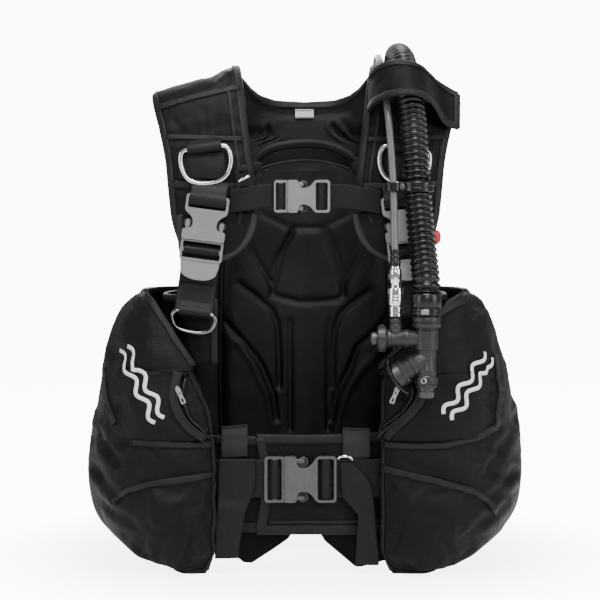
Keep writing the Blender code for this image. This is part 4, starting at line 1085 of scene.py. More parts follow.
YOKES = {}
for side, word in ((-1, "right"), (1, "left")):
    R5 = cat(YOKE_ROWS, 74)
    C = []
    for xi, xo, y, zi, zo in R5:
        C.append([(side * (xi + (xo - xi) * t), y - 2.0 * math.sin(math.pi * t) * min(1, max(0, -y / 20)), zi + (zo - zi) * t) for t in np.linspace(0, 1, 30)])
    C = np.array(C)
    N = normals_of(C) * side
    nr, nc = C.shape[:2]
    U = np.linspace(-1, 1, nc)[None, :]
    V = np.linspace(-1, 1, nr)[:, None]
    half = 1.8 + 3.0 * ((1 - np.abs(U) ** 8).clip(0) ** 0.5) * ((1 - np.abs(V) ** 20).clip(0) ** 0.5)
    ob, T, B = pillow(word + "_yoke_shell", C, half, YOKE, N=N, sub=1)
    fix_normals(ob)
    pin = np.zeros((nr, nc))
    zc = C[..., 2]
    for zq in (547, 487):
        w = np.clip(1 - (np.abs(zc - zq) - 2.5) / 5.0, 0, 1)
        pin = np.maximum(pin, np.where(C[..., 1] < -20, w, 0))
    pin[:, :2] = pin[:, -2:] = 1
    pin[:3] = pin[-2:] = 1
    T, B = puff(ob, C, pin, np.full((nr, nc), 0.96), pressure=1.3, frames=10, grow=0.02, cap=4.5, bend=1.2)
    orient(T, N)
    me = ob.data
    co = np.empty(len(me.vertices) * 3)
    me.vertices.foreach_get("co", co)
    co = co.reshape(-1, 3)
    for idx in range(nr * nc):
        j, i = divmod(idx, nc)
        p = T.P[j, i]
        z = p[2]
        # a few slanted creases over the collarbone and short ones near the seams
        a = 1.0 * math.sin((z + 0.32 * side * p[0]) / 4.6) * math.exp(-((z - 560) / 17.0) ** 2) * (p[1] < 0)
        a += wob(p, 22, 5.0 + side) * 1.1 + wob((p[0] * 2, p[1], p[2]), 13, 2.0) * 0.5
        T.P[j, i] = p + T.N[j, i] * a * (1 - 0.85 * pin[j, i])
        co[idx] = pt(T.P[j, i])
    me.vertices.foreach_set("co", co.reshape(-1))
    me.update()
    T = orient(Surf(T.P), N)
    YOKES[side] = (T, B)
    go(ob, "vest", word + "_shoulder_yoke", slot="shell")
    for key, path, inw in (("inner", [(0, 0.01), (0, 0.5), (0, 0.99)], (1, 0)), ("outer", [(1, 0.01), (1, 0.5), (1, 0.99)], (-1, 0)),
                           ("end", [(0.02, 0), (0.5, 0), (0.98, 0)], (0, 1))):
        b = bound_edge("%s_yoke_binding_%s" % (word, key), T, B, path, inw, 9.0, BIND)
        fix_normals(b)
        go(b, "vest", slot="binding")
    # doubled strip along the inner edge, cross seams, shoulder seam
    b = tape(word + "_yoke_inner_strip", T, [(0.16, v) for v in np.linspace(0.1, v_on(T, 0.16, 615), 40)], 4.0, BIND, off=0.8, thick=1.0)
    go(b, "vest", slot="binding")
    for k_, zq, wd in (("top", 547, 7), ("low", 487, 9)):
        b = tape("%s_yoke_seam_%s" % (word, k_), T, [(u, v_on(T, u, zq + 4 * u)) for u in np.linspace(0.07, 0.94, 14)], wd, BIND, off=1.0, thick=1.2)
        go(b, "vest", slot="binding")
    vs = v_on(T, 0.5, 621) if side < 0 else v_on(T, 0.5, 618)
    crest = []
    for u in np.linspace(0.03, 0.97, 16):
        zt = max(T._s(T.P, u, v)[2] for v in np.linspace(0.35, 0.7, 60))
        crest.append((u, v_on(T, u, zt - 10)))
    b = tape(word + "_yoke_shoulder_seam", T, crest, 9, BIND, off=1.0, thick=1.4)
    go(b, "vest", slot="binding")
    # square patch of webbing between the seams, under the ring
    rows = []
    nn = []
    for zq in np.linspace(497, 532, 12):
        r_, n_ = [], []
        for u in np.linspace(0.30, 0.86, 14):
            p, n = T.at(u, v_on(T, u, zq))
            r_.append(p + n * 1.5)
            n_.append(n)
        rows.append(r_)
        nn.append(n_)
    pb_, *_ = pillow(word + "_yoke_patch", smooth_rows(np.array(rows), 2), 0.9, WEBM, N=np.array(nn), sub=1)
    fix_normals(pb_)
    go(pb_, "vest", slot="webbing")
    # height slider where the chest strap leaves the yoke, with its metal eye
    if side < 0:
        u_, v_ = uv_near(T, -82, 497)
        p = T.at(u_, v_)[0]
        K = Matrix((Vector((1, 0, 0.05)).normalized(), Vector((-0.05, 0, 1)).normalized(), Vector((0, -1, 0)))).transposed()
        K.col[0] = (1, 0.0, 0.06)
        KM = at_frame((-77, min(p[1] - 6.5, -74), 496), K)
        bodyk = extruded(word + "_chest_slider", [rrect(21, 32, 8, 0, 0, 6), rrect(12, 4.4, 2, 0, -10.2, 4)[::-1], rrect(12, 4.4, 2, 0, 10.2, 4)[::-1]], -2.2, 2.4, BLACKP, KM, bevel=1.2, seg=3, crown=lambda x, y, s_: 1.2 * (1 - (x / 11) ** 2) if s_ > 0 else 0)
        go(bodyk, "vest", slot="black_plastic")
        for q in (-14, 14):
            lug = extruded("%s_chest_slider_lug_%d" % (word, q > 0), [rrect(9, 8, 3, 0, q, 4)], -1.6, 1.6, BLACKP, KM, bevel=0.9, seg=2)
            go(lug, "vest", slot="black_plastic")
        wire = sweep(word + "_chest_slider_wire", [tuple(KM @ Vector((x, y, z))) for x, y, z in cat([(-6.5, -1.8, 2.8), (-3, 0.2, 5.0), (1, 1.6, 5.8), (5, 3.4, 5.0), (7, 4.6, 2.8)], 22)], circle(1.7, 12), CHROME, up=(0, -1, 0))
        fix_normals(wire)
        go(wire, "vest", slot="steel")

# ================================================================ back panel
PANEL_W = [(36, 118), (60, 140), (100, 153), (360, 153), (374, 166), (400, 164), (430, 163), (500, 166), (545, 171), (556, 94), (575, 92), (640, 92)]
NECK_Z = [(0, 604), (40, 606), (60, 612), (74, 622), (84, 634), (92, 640)]
YOKE_Y = [(530, 84), (556, 82), (590, 68), (622, 45), (640, 20)]


def panel_rows(nc=61):
    rows = []
    for z0 in list(np.linspace(36, 545, 46)) + [549, 553, 557, 561, 565, 568.5]:
        w = ip(PANEL_W, z0)
        rows.append([(t * w, 98 - 6 * (t * w / 165) ** 2 * (1 if z0 <= 552 else 0.4), z0) for t in np.linspace(-1, 1, nc)])
    base = [(t * 91, 98.0, 572.0) for t in np.linspace(-1, 1, nc)]
    for f in np.linspace(0, 1, 10):
        row = []
        for x, y, z in base:
            zz = 572 + (ip(NECK_Z, abs(x)) - 572) * f
            k = min(1.0, (abs(x) / 83) ** 3)
            row.append((x, 98 * (1 - k) + (ip(YOKE_Y, zz) + 4) * k, zz))
        rows.append(row)
    return np.array(rows)


C = panel_rows()
C = smooth_rows(C, 1)
N = -normals_of(C)
if float(N[..., 1].mean()) > 0:
    N = -N
nr, nc = C.shape[:2]
U = np.linspace(-1, 1, nc)[None, :]
V = np.linspace(-1, 1, nr)[:, None]
half = 1.6 + 5.0 * ((1 - np.abs(U) ** 16).clip(0) ** 0.5) * ((1 - np.abs(V) ** 24).clip(0) ** 0.5)
bp, T, B = pillow("back_panel_shell", C, half, SHELL2, N=N, sub=1)
fix_normals(bp)
me = bp.data
for idx in range(nr * nc):
    j, i = divmod(idx, nc)
    p = T.P[j, i]
    a = wob(p, 60, 4.0) * 1.6 + wob(p, 24, 1.0) * 0.8
    if p[2] > 552:
        a *= 0.5
        for q0, q1, dp in (((-49, 570), (-42, 548), 5.0), ((-60, 566), (-56, 546), 2.5), ((38, 572), (60, 550), 5.0), ((52, 576), (66, 560), 2.5)):
            d_ = dist_to([q0, q1], np.array([p[0]]), np.array([p[2]]))[0]
            a += -dp * math.exp(-(d_ / 3.2) ** 2) + 0.6 * dp * math.exp(-((d_ - 7.0) / 3.5) ** 2)
        a -= 2.2 * math.exp(-((ip(NECK_Z, abs(p[0])) - p[2] - 17) / 3.0) ** 2)
    T.P[j, i] = p + N[j, i] * a
    me.vertices[idx].co = pt(T.P[j, i])
T = orient(Surf(T.P), N)
B = orient(B, -N)
BACK_T, BACK_B = T, B
go(bp, "vest", "back_panel", slot="shell")
for key, path, inw in (("neck", [(0.0, 1), (0.5, 1), (1.0, 1)], (0, -1)), ("skirt", [(0.01, 0), (0.5, 0), (0.99, 0)], (0, 1))):
    b = bound_edge("back_binding_" + key, T, B, path, inw, 13.0, BIND, step=3.0)
    fix_normals(b)
    go(b, "vest", slot="binding")
for k_, zq in (("b", 66),):
    line = []
    for u in np.linspace(0.06, 0.94, 30):
        vv = min(np.linspace(0, 1, 300), key=lambda v: abs(T._s(T.P, u, v)[2] - zq))
        line.append((u, vv))
    b = tape("back_seam_" + k_, T, line, 9, BIND, off=0.8, thick=1.1)
    go(b, "vest", slot="binding")
# label, slightly bowed, with its sewn edge
rows = [[(x, 89.3 - 0.7 * math.cos(x / 13) - (0.25 if abs(z - 589) > 5.3 else 0), z) for x in np.linspace(-13, 12, 14)] for z in np.linspace(583, 595, 8)]
lb, *_ = pillow("sewn_label", np.array(rows), 0.3, LABEL, sub=1)
fix_normals(lb)
go(lb, "vest", "neck_label", slot="label")
for k_, zz in (("a", 584.4), ("b", 593.6)):
    s = sweep("label_stitch_" + k_, [(x, 88.4 - 0.7 * math.cos(x / 13) - 0.15 * math.sin(x * 2.4), zz) for x in np.linspace(-12, 11, 40)], circle(0.35, 6), THREAD)
    go(s, "vest", slot="label")

# ================================================================ embossed back pad
PAD_HALF = [(56, 96), (90, 108), (200, 112), (300, 112), (400, 108), (450, 98), (490, 84), (512, 62), (522, 34), (525, 8)]


def at_depth(a, b, y):
    k = 1.3 * (2500 + y) / 2500
    return ((a - 300) * k - 6.5, 342 - y * math.tan(ELEV) - (b - 300) * k)


def line_at(pts, y=68):
    return [at_depth(a, b, y) for a, b in pts]


GROOVES = [([(293, 228), (322, 228), (331, 250), (344, 295), (336, 300), (300, 302), (272, 295), (281, 256), (293, 228)], 3.6, 5.0),
           ([(293, 232), (277, 257), (270, 277), (272, 292)], 2.2, 5.0), ([(327, 229), (337, 252), (342, 270), (344, 295)], 2.2, 5.0),
           ([(238, 283), (254, 295), (272, 310), (277, 324), (279, 351), (279, 387)], 3.8, 6.0),
           ([(371, 290), (351, 304), (340, 315), (334, 332), (333, 352), (333, 387)], 3.8, 6.0),
           ([(223, 320), (243, 342), (259, 362), (272, 391), (276, 420)], 4.0, 7.0),
           ([(386, 318), (378, 330), (358, 347), (349, 371), (336, 394), (332, 420)], 4.0, 7.0),
           ([(290, 320), (290, 430)], 2.6, 5.0), ([(328, 320), (328, 430)], 2.6, 5.0),
           ([(262, 170), (255, 190), (262, 214), (286, 226)], 2.6, 6.0), ([(348, 170), (358, 190), (350, 214), (326, 226)], 2.6, 6.0),
           ([(240, 200), (246, 226), (252, 250), (262, 268), (270, 282)], 3.2, 6.0),
           ([(374, 200), (368, 226), (362, 250), (352, 268), (344, 284)], 3.2, 6.0),
           ([(266, 166), (285, 158), (306, 155), (327, 158), (346, 166)], 2.4, 5.0)]
RIDGES = [([(240, 342), (256, 369), (268, 396), (275, 423)], 2.2, 6.0), ([(378, 353), (362, 369), (349, 387), (339, 414), (336, 436)], 2.2, 6.0),
          ([(308, 236), (308, 290)], 2.6, 16.0), ([(308, 312), (308, 430)], 2.2, 15.0),
          ([(238, 255), (250, 275), (262, 290)], 2.2, 10.0), ([(378, 255), (366, 275), (354, 290)], 2.2, 10.0)]
nzp, nup = 170, 120
zs = np.concatenate([np.linspace(57, 505, 132), 505 + 19.5 * np.sin(np.linspace(0, math.pi / 2, 39))[1:]])
nzp = len(zs)
X = np.array([[t * ip(PAD_HALF, z) for t in np.sin(np.linspace(-1, 1, nup) * math.pi / 2 * 0.98) / math.sin(math.pi / 2 * 0.98)] for z in zs])
Z = np.repeat(zs[:, None], nup, axis=1)
U = np.linspace(-1, 1, nup)[None, :]
rim = ((1 - (X / (np.array([ip(PAD_HALF, z) for z in zs])[:, None] + 0.01)) ** 8).clip(0)) ** 0.5 * np.clip((Z - 55) / 12, 0, 1) ** 0.5 * np.clip((526 - Z) / 14, 0, 1) ** 0.5
H = np.zeros(X.shape)
for poly, depth, width in GROOVES:
    d = dist_to(line_at(poly), X, Z)
    H -= depth * np.exp(-(d / (width * 0.62)) ** 2)
for poly, lift, width in RIDGES:
    d = dist_to(line_at(poly), X, Z)
    H += lift * np.exp(-(d / width) ** 2)
H = np.maximum(1.25 * H, -6.8)
sides_up = 3.2 * np.clip((np.abs(X) - 35) / 60, 0, 1) ** 1.3
front = 79 - (1.5 + 8.2 * rim) - (H + sides_up) * rim + 0.0
back = 79 + 8.3 * np.clip(rim, 0.2, 1)
Cp = np.stack([X, (front + back) / 2, Z], axis=2)
hp_ = (back - front) / 2
NP = np.zeros_like(Cp)
NP[..., 1] = -1
pad, T, B = pillow("back_cushion", Cp, hp_, PADF, N=NP, sub=1)
fix_normals(pad)
me = pad.data
for idx in range(nzp * nup):
    v = me.vertices[idx]
    j, i = divmod(idx, nup)
    a = wob(T.P[j, i], 26, 8.0) * 0.7 * rim[j, i]
    T.P[j, i, 1] -= a
    v.co.y -= a * 0.001
go(pad, "vest", "back_pad", slot="pad")
PADT = orient(Surf(T.P), NP)
edge = []
for side in (-1, 1):
    seq = [(side * (w + 0.6), 79.5, z) for z, w in PAD_HALF[:-1]]
    edge.append(seq)
loop = cat(edge[1] + [(0, 79.5, 526.0)] + edge[0][::-1], 160)
pip = sweep("back_cushion_piping", [tuple(p) for p in loop], circle(2.3, 10), BIND)
fix_normals(pip)
go(pip, "vest", slot="binding")

# ================================================================ panels under the lower webbing
FRONT_PATH = [(149, 80), (170, 62), (182, 15), (178, -35), (158, -62), (136, -70), (112, -72)]
FRONTS = {}
for side, word in ((-1, "right"), (1, "left")):
    rows = []
    for z in np.linspace(262, 352, 16):
        k = 1.0 - 0.03 * max(0, (z - 300) / 52)
        top = 4.0 * ((z - 262) / 90) ** 3
        rows.append([(side * (149 + (x - 149) * k if x > 149 else x), y, z - top * (i / 41)) for i, (x, y) in enumerate(cat(FRONT_PATH, 42))])
    C = np.array(rows)
    N = normals_of(C)
    if float((N[:, -8:, 1]).mean()) > 0:
        N = -N
    ob, T, B = pillow(word + "_front_panel_shell", C, 2.0, SHELL, N=N, sub=1)
    fix_normals(ob)
    T, B = orient(T, N), orient(B, -N)
    go(ob, "vest", word + "_front_panel", slot="shell")
    FRONTS[side] = (T, B)
    for key, path, inw in (("top", [(0.02, 1), (0.5, 1), (0.99, 1)], (0, -1)), ("front", [(1, 0.02), (1, 0.5), (1, 0.98)], (-1, 0))):
        b = bound_edge("%s_front_panel_binding_%s" % (word, key), T, B, path, inw, 8.0, BIND)
        fix_normals(b)
        go(b, "vest", slot="binding")

# ================================================================ cummerbund
CUM = {"right": ([(-121, 82), (-142, 58), (-150, 15), (-145, -38), (-122, -66), (-96, -75.5), (-50, -80), (0, -81), (30, -81)], 52, 172),
       "left": ([(121, 82), (142, 58), (150, 15), (145, -38), (122, -67), (96, -77), (50, -85.5), (0, -87), (-60, -87)], 50, 176)}
for word, (path, z0, z1) in CUM.items():
    sgn = -1 if word == "right" else 1
    base = cat(path, 96)
    rows = []
    for z in np.linspace(z0, z1, 26):
        f = (z - z0) / (z1 - z0)
        row = []
        for i, (x, y) in enumerate(base):
            # the free end is cut to a slow curve, and the band sags a little between the lobes
            end = max(0.0, (i - 82) / 13.0)
            bow = -9.0 * (2 * f - 1) ** 2 + 6.0
            xx = x + (bow * end if word == "left" else -bow * end * 0.4)
            zz = z - 3.0 * math.exp(-((x + 5) / 60.0) ** 2) * (f - 0.3) * (1 if y < -60 else 0)
            row.append((xx, y, zz))
        rows.append(row)
    C = np.array(rows)
    N = normals_of(C)
    if float((N[:, -30:, 1]).mean()) > 0:
        N = -N
    V = np.linspace(-1, 1, 26)[:, None]
    half = (1.2 + 1.0 * (1 - np.abs(V) ** 6)) * np.ones((1, 96))
    ob, T, B = pillow(word + "_cummerbund_band", C, half, SHELL, N=N, sub=1)
    fix_normals(ob)
    me = ob.data
    for idx in range(26 * 96):
        j, i = divmod(idx, 96)
        p = T.P[j, i]
        a = wob(p, 30, 12.0) * 0.8 + 0.5 * math.sin(p[0] / 9.0 + 2 * math.sin(p[2] / 20)) * (1 if p[1] < -60 else 0) * (1 - abs(V[j, 0])) 
        T.P[j, i] = p + N[j, i] * a * (1 if p[1] < -50 else 0)
        me.vertices[idx].co = pt(T.P[j, i])
    T, B = orient(Surf(T.P), N), orient(B, -N)
    go(ob, "vest", word + "_cummerbund", slot="shell")
    edges = [("top", [(0.3, 1), (0.6, 1), (0.995, 1)], (0, -1)), ("low", [(0.3, 0), (0.6, 0), (0.995, 0)], (0, 1)), ("end", [(1, 0.03), (1, 0.5), (1, 0.97)], (-1, 0))]
    for key, pth, inw in edges:
        b = bound_edge("%s_cummerbund_binding_%s" % (word, key), T, B, pth, inw, 11.0, BIND, step=3.0)
        fix_normals(b)
        go(b, "vest", slot="binding")
    if word == "left":
        b = tape("cummerbund_seam", T, [(u, 0.12) for u in np.linspace(0.45, 0.96, 30)], 4, BIND, off=0.6, thick=0.9)
        go(b, "vest", slot="binding")

# elastic tabs over the cummerbund's ends
for word, x0, x1, za, zb, yy in (("right", -106, -72, 187, 146, -88.5), ("left", 47, 82, 185, 146, -90.5)):
    rows = []
    for z in np.linspace(zb, za, 12):
        f = (z - zb) / (za - zb)
        rows.append([(x, yy + 1.4 * math.cos((f - 0.5) * math.pi) * -1 + (0.012 * (x - (x0 + x1) / 2) ** 2) * 0.4 + 0.35 * math.sin(z * 2.1), z + 1.4 * math.sin(x / 14)) for x in np.linspace(x0, x1, 16)])
    tb, *_ = pillow(word + "_elastic_tab", np.array(rows), 1.1, ELAST, sub=1)
    fix_normals(tb)
    go(tb, "vest", slot="webbing")
    te, *_ = pillow(word + "_elastic_edge", np.array([[(x, y - 1.0, z) for x, y, z in r] for r in (rows[-2], rows[-1])]) + np.array((0, 0, 0.8)), 0.9, WEBM, sub=1)
    fix_normals(te)
    go(te, "vest", slot="webbing")


# ================================================================ side-release buckles
def arc(cx, cy, r, a0, a1, n=8):
    return [(cx + r * math.cos(math.radians(a0 + (a1 - a0) * i / n)), cy + r * math.sin(math.radians(a0 + (a1 - a0) * i / n))) for i in range(n + 1)]


def soften(loop, times=2):
    """cuts the corners of a closed outline so that it reads as moulded"""
    for _ in range(times):
        out = []
        for i, p in enumerate(loop):
            q = loop[(i + 1) % len(loop)]
            L = math.hypot(q[0] - p[0], q[1] - p[1])
            k = 0.25 if L > 1.2 else 0.0
            if L > 9:
                k = 1.6 / L
            if k == 0:
                out.append(p)
                continue
            out.append((p[0] * (1 - k) + q[0] * k, p[1] * (1 - k) + q[1] * k))
            out.append((p[0] * k + q[0] * (1 - k), p[1] * k + q[1] * (1 - k)))
        loop = out
    return loop


def side_release(prefix, size, length, body, prong, thick, loc, rot, slots, plug_body, waist=0.54, tab=False, grey=None, top_frame=True):
    grey = grey or GREY
    h = size / 2
    M = at_frame(loc, rot)
    total = body + 13 * size / 58
    w = h * waist
    t2 = thick / 2

    # ---- socket: crowned face, round windows at its sides, flared frame with a thin rail
    up = [(0.0, h - 0.6), (body * .10, h), (body * .22, h), (body * .27, h * .985), (body * .292, h * .92), (body * .298, w + (h - w) * .62), (body * .312, w + (h - w) * .30),
          (body * .345, w + (h - w) * .08), (body * .39, w - .4), (body * .44, w - .8), (body * .50, w - .6), (body * .56, w + .2), (body * .61, w + (h - w) * .12), (body * .66, w + (h - w) * .30),
          (body * .71, w + (h - w) * .56), (body * .76, w + (h - w) * .84), (body * .81, h * .985), (body * .86, h), (total - 3.5, h), (total - 1.2, h - .9), (total, h - 3.2)]
    loop = up + [(x, -y) for x, y in reversed(up)]
    s0, s1 = (body * .80, total - 3.0) if top_frame else (body * .86 + 1.2, total - 2.6)
    slot = rrect(s1 - s0, size - 6.4, 2.4, (s0 + s1) / 2, 0, 5)

    def crown(x, y, s):
        if s < 0:
            return 0.0
        return 1.3 * (1 - (y / h) ** 2) * (1 - 0.9 * max(0, min(1, (x - body * .55) / (body * .25)))) - 1.5 * max(0, min(1, (x - body * .66) / (body * .14)))

    shell = extruded(prefix + "_socket_body", [loop, slot[::-1]], -t2, t2 - 1.0, grey, M, bevel=1.5, seg=3, crown=crown)
    go(shell, "vest", prefix + "_socket", slot="buckle")
    # raised frame edge of the mouth
    lip = extruded(prefix + "_socket_lip", [[(-0.1, h - 1.6), (2.0, h - 1.2), (2.0, -(h - 1.2)), (-0.1, -(h - 1.6))]], t2 - 1.9, t2 - .1, grey, M, bevel=0.6, seg=2, crown=lambda x, y, s: 1.1 * (1 - (y / h) ** 2) if s > 0 else 0)
    go(lip, "vest", slot="buckle")

    # ---- plug: thin ladder frame, three fingers, the outer two ending in the thumb pads
    fw = length
    lad = slots[-1][0] + slots[-1][1] / 2 + 3.2 if tab else fw
    outer = [(-0.6, h - 0.4), (-lad + 3.5, h), (-lad + 1, h - 1.2), (-lad, h - 4), (-lad, -h + 4), (-lad + 1, -h + 1.2), (-lad + 3.5, -h), (-0.6, -h + 0.4)]
    a0 = slots[0][0] - slots[0][1] / 2
    a1 = slots[-1][0] + slots[-1][1] / 2
    mid = (slots[0][0] + slots[-1][0]) / 2
    holes = [rrect(mid - 2.4 - a0, size - 6.2, 1.8, -(a0 + mid - 2.4) / 2, 0, 4)[::-1], rrect(a1 - mid - 2.4, size - 6.2, 1.8, -(a1 + mid + 2.4) / 2, 0, 4)[::-1]]
    m2 = (thick - 5.4) / 2
    fr = extruded(prefix + "_plug_frame", [outer] + holes, -m2, m2, grey, M, bevel=1.1, seg=3)
    go(fr, plug_body, prefix + "_plug", slot="buckle")
    for sgn in (-1, 1):
        a = (size - 7.4) / 2
        fin = [(-1.0, a - 0.6), (prong * .42, a), (prong * .62, a + 0.4), (prong * .80, a + 1.1), (prong * .95, a + 0.5), (prong, a - 2.2), (prong * .92, a - 5.0), (prong * .78, a - 5.4), (prong * .55, a - 4.2), (prong * .2, a - 4.0), (-1.0, a - 5.5)]
        fin = [(x, y * sgn) for x, y in fin]
        f = extruded("%s_plug_finger_%s" % (prefix, "a" if sgn < 0 else "b"), [fin], -m2 + .4, m2 - .6, grey, M, bevel=0.8, seg=2)
        go(f, plug_body, slot="buckle")
        # dished round pad that the thumb presses, in the window; on the pale grey buckles it takes a darker plastic,
        # and a black disc fills its dish: both painted shade in the recess
        rr = min(body * .125, (h - w) * .56)
        c = M @ Vector((body * .45, sgn * (h - rr - .6), -0.6))
        zd = tuple(M.to_3x3() @ Vector((0, 0, 1)))
        pad_ = lathe("%s_plug_thumb_%s" % (prefix, "a" if sgn < 0 else "b"), [(0, -m2 + .2), (rr - 1.4, -m2 + .2), (rr - .3, -m2 + 1.0), (rr, 0), (rr - .15, m2 - .7), (rr - .5, m2 - .3), (rr - 1.0, m2 - .3), (rr - 1.3, m2 - .9), (rr - 1.35, m2 - 1.7), (0, m2 - 1.9)],
                     tuple(c), zd, BUTTON if grey is GREY else GREY_SHADED, seg=32, smooth_angle=60)
        go(pad_, plug_body, slot="buckle")
        # black disc in the pad's dish: painted shade
        dish = lathe("%s_plug_dish_%s" % (prefix, "a" if sgn < 0 else "b"), [(0, -.4), (rr - 1.5, -.4), (rr - 1.45, 0.15), (rr - 2.0, 0.3), (0, 0.1)], tuple(Vector(c) + Vector(zd) * (m2 - 1.75)), zd, BLACKP, seg=28, smooth_angle=60)
        go(dish, plug_body, slot="buckle")
    ctr = extruded(prefix + "_plug_guide", [[(-1, 2.6), (prong - 3, 2.1), (prong - 1, 0), (prong - 3, -2.1), (-1, -2.6)]], -m2 + .5, m2 - .5, grey, M, bevel=0.5, seg=2)
    go(ctr, plug_body, slot="buckle")
    if tab:
        # lifting tab beyond the ladder: wide plate, its end rounded, curving forward
        hw = h * .93
        out = [(-lad + 1.5, hw), (-lad - 6, hw - .6), (-fw + 9, hw - 2.6), (-fw + 6, hw - 4.2), (-fw + 3.6, hw - 7.5), (-fw + 1.6, hw - 12), (-fw + .4, hw - 17), (-fw, 4), (-fw, -4), (-fw + .4, -hw + 17), (-fw + 1.6, -hw + 12),
               (-fw + 3.6, -hw + 7.5), (-fw + 6, -hw + 4.2), (-fw + 9, -hw + 2.6), (-lad - 6, -hw + .6), (-lad + 1.5, -hw)]
        tb = extruded(prefix + "_plug_tab", [out], -1.6, 2.2, grey, M, bevel=1.3, seg=3, crown=lambda x, y, s: max(0, (-lad - x) / (fw - lad)) ** 1.5 * 3.0 + (0.8 * (1 - (y / h) ** 2) if s > 0 else 0))
        go(tb, plug_body, slot="buckle")
    return M


def bar_loop(name, M, pts, width, body, thick=1.5):
    """webbing over a bar of a buckle: local (x, z) points"""
    P = [M @ Vector((x, 0, z)) for x, z in pts]
    ac = M.to_3x3() @ Vector((0, 1, 0))
    ob, *_ = ribbon(name, [tuple(p) for p in P], tuple(ac), width, thick, WEBM, n=max(12, len(pts) * 4))
    fix_normals(ob)
    go(ob, body, slot="webbing")
    return ob


# the waist buckle takes the darker copy of the grey plastic: painted shade
MW = side_release("waist_buckle", 58, 25, 52, 26, 12, (-26, -102, 121), strap_frame((1, 0, 0)), [(6.5, 6.4), (17.8, 7)], "waist_plug", grey=GREY_SHADED)
MC = side_release("chest_buckle", 41, 17, 44, 20, 10, (-22, -86, 475), strap_frame((1, 0, 0)), [(4.6, 4.6), (12.4, 5)], "chest_plug")
SH_LOC = {-1: (-130.5, -84, 405), 1: (130.5, -84, 405)}
SH_MOUTH = 14.5
MS = {}
for side, word in ((-1, "right"), (1, "left")):
    dv_ = Vector((0.13 * -side, 0, 0.991)).normalized()
    MS[side] = side_release(word + "_shoulder_buckle", 54, 50, 45, 25, 12, tuple(Vector(SH_LOC[side]) + dv_ * SH_MOUTH), strap_frame(tuple(dv_)), [(6.5, 8), (19.0, 8)],
                            word + "_shoulder_plug", waist=0.58, tab=True, top_frame=False)
    # webbing over the plug's middle bar
    bar_loop(word + "_shoulder_bar_loop", MS[side], [(-6.6, -4.7), (-7.4, -2.6), (-8.6, 1.6), (-10.6, 3.9), (-12.8, 4.4), (-15.0, 3.9), (-17.0, 1.6), (-18.0, -2.6), (-18.8, -4.7)], 45, word + "_shoulder_plug")

bar_loop("waist_bar_loop", MW, [(-6.2, -4.7), (-6.9, -2.6), (-8.0, 1.8), (-9.8, 3.8), (-12.1, 4.4), (-14.4, 3.8), (-16.2, 1.8), (-17.4, -2.6), (-18.2, -4.7)], 49, "waist_plug")
bar_loop("chest_bar_loop", MC, [(-4.2, -3.9), (-4.8, -2.4), (-5.6, 1.2), (-6.9, 2.8), (-8.5, 3.2), (-10.1, 2.8), (-11.4, 1.2), (-12.2, -2.4), (-12.8, -3.9)], 33, "chest_plug", 1.3)
# fixed ends: webbing rolled over the middle of the socket's frame
tw = 52 * .80 / 2 + (52 + 13 - 3.0) / 2
bar_loop("waist_socket_loop", MW, [(tw - 7.0, -7.4), (tw - 6.2, -3.6), (tw - 4.8, 1.2), (tw - 2.6, 3.4), (tw, 4.2), (tw + 2.6, 3.4), (tw + 4.8, 1.2), (tw + 6.2, -3.6), (tw + 7.0, -7.4)], 49, "vest", 1.5)
tc = 44 * .80 / 2 + (44 + 13 * 41 / 58 - 3.0) / 2
bar_loop("chest_socket_loop", MC, [(tc - 5.6, -6.0), (tc - 5.0, -3.0), (tc - 3.8, 1.0), (tc - 2.0, 2.8), (tc, 3.4), (tc + 2.0, 2.8), (tc + 3.8, 1.0), (tc + 5.0, -3.0), (tc + 5.6, -6.0)], 33, "vest", 1.3)
glint = sweep("waist_keeper_ring", cat([(41, -104.5, 147.5), (44, -106.5, 149.8), (50, -107.2, 150.6), (56, -106.2, 149.2), (59.5, -103.5, 146.0)], 30), circle(1.7, 14), CHROME, up=(0, -1, 0))
fix_normals(glint)
go(glint, "vest", slot="steel")

# ================================================================ webbing
def strip(name, pts, across, width, thick, n, *nodes, body="vest", mat=None, lump=0.35):
    ob, a, b = ribbon(name, pts, across, width, thick, mat or WEBM, n=n)
    me = ob.data
    for v in me.vertices:
        p = v.co * 1000
        v.co.y += 0.001 * lump * wob((p[0], p[1], p[2]), 21, 6.0)
    fix_normals(ob)
    go(ob, body, *nodes, slot="webbing")
    return ob


strip("waist_web_right", [(x, y, 121) for x, y in [(-159, 12), (-156, -40), (-132, -76), (-106, -86.5), (-84, -91), (-62, -93), (-28, -93)]], (0, 0, 1), 48, 1.7, 60, "waist_strap_right")
strip("waist_web_left", [(x, y, 121) for x, y in [(159, 12), (156, -40), (132, -76), (106, -87), (80, -91), (60, -92.5), (14, -93)]], (0, 0, 1), 48, 1.7, 60, "waist_strap_left")
strip("chest_web_right", [(-96, -74.0, 469), (-84, -76, 471), (-68, -78.2, 473), (-54, -79, 475), (-41, -79.4, 475)], (0, 0, 1), 30, 1.6, 26, "chest_strap_right")
strip("chest_web_left", [(96, -74.0, 468), (84, -76, 470), (66, -78.2, 473), (50, -79, 475), (26, -79.4, 475)], (0, 0, 1), 30, 1.6, 30, "chest_strap_left")

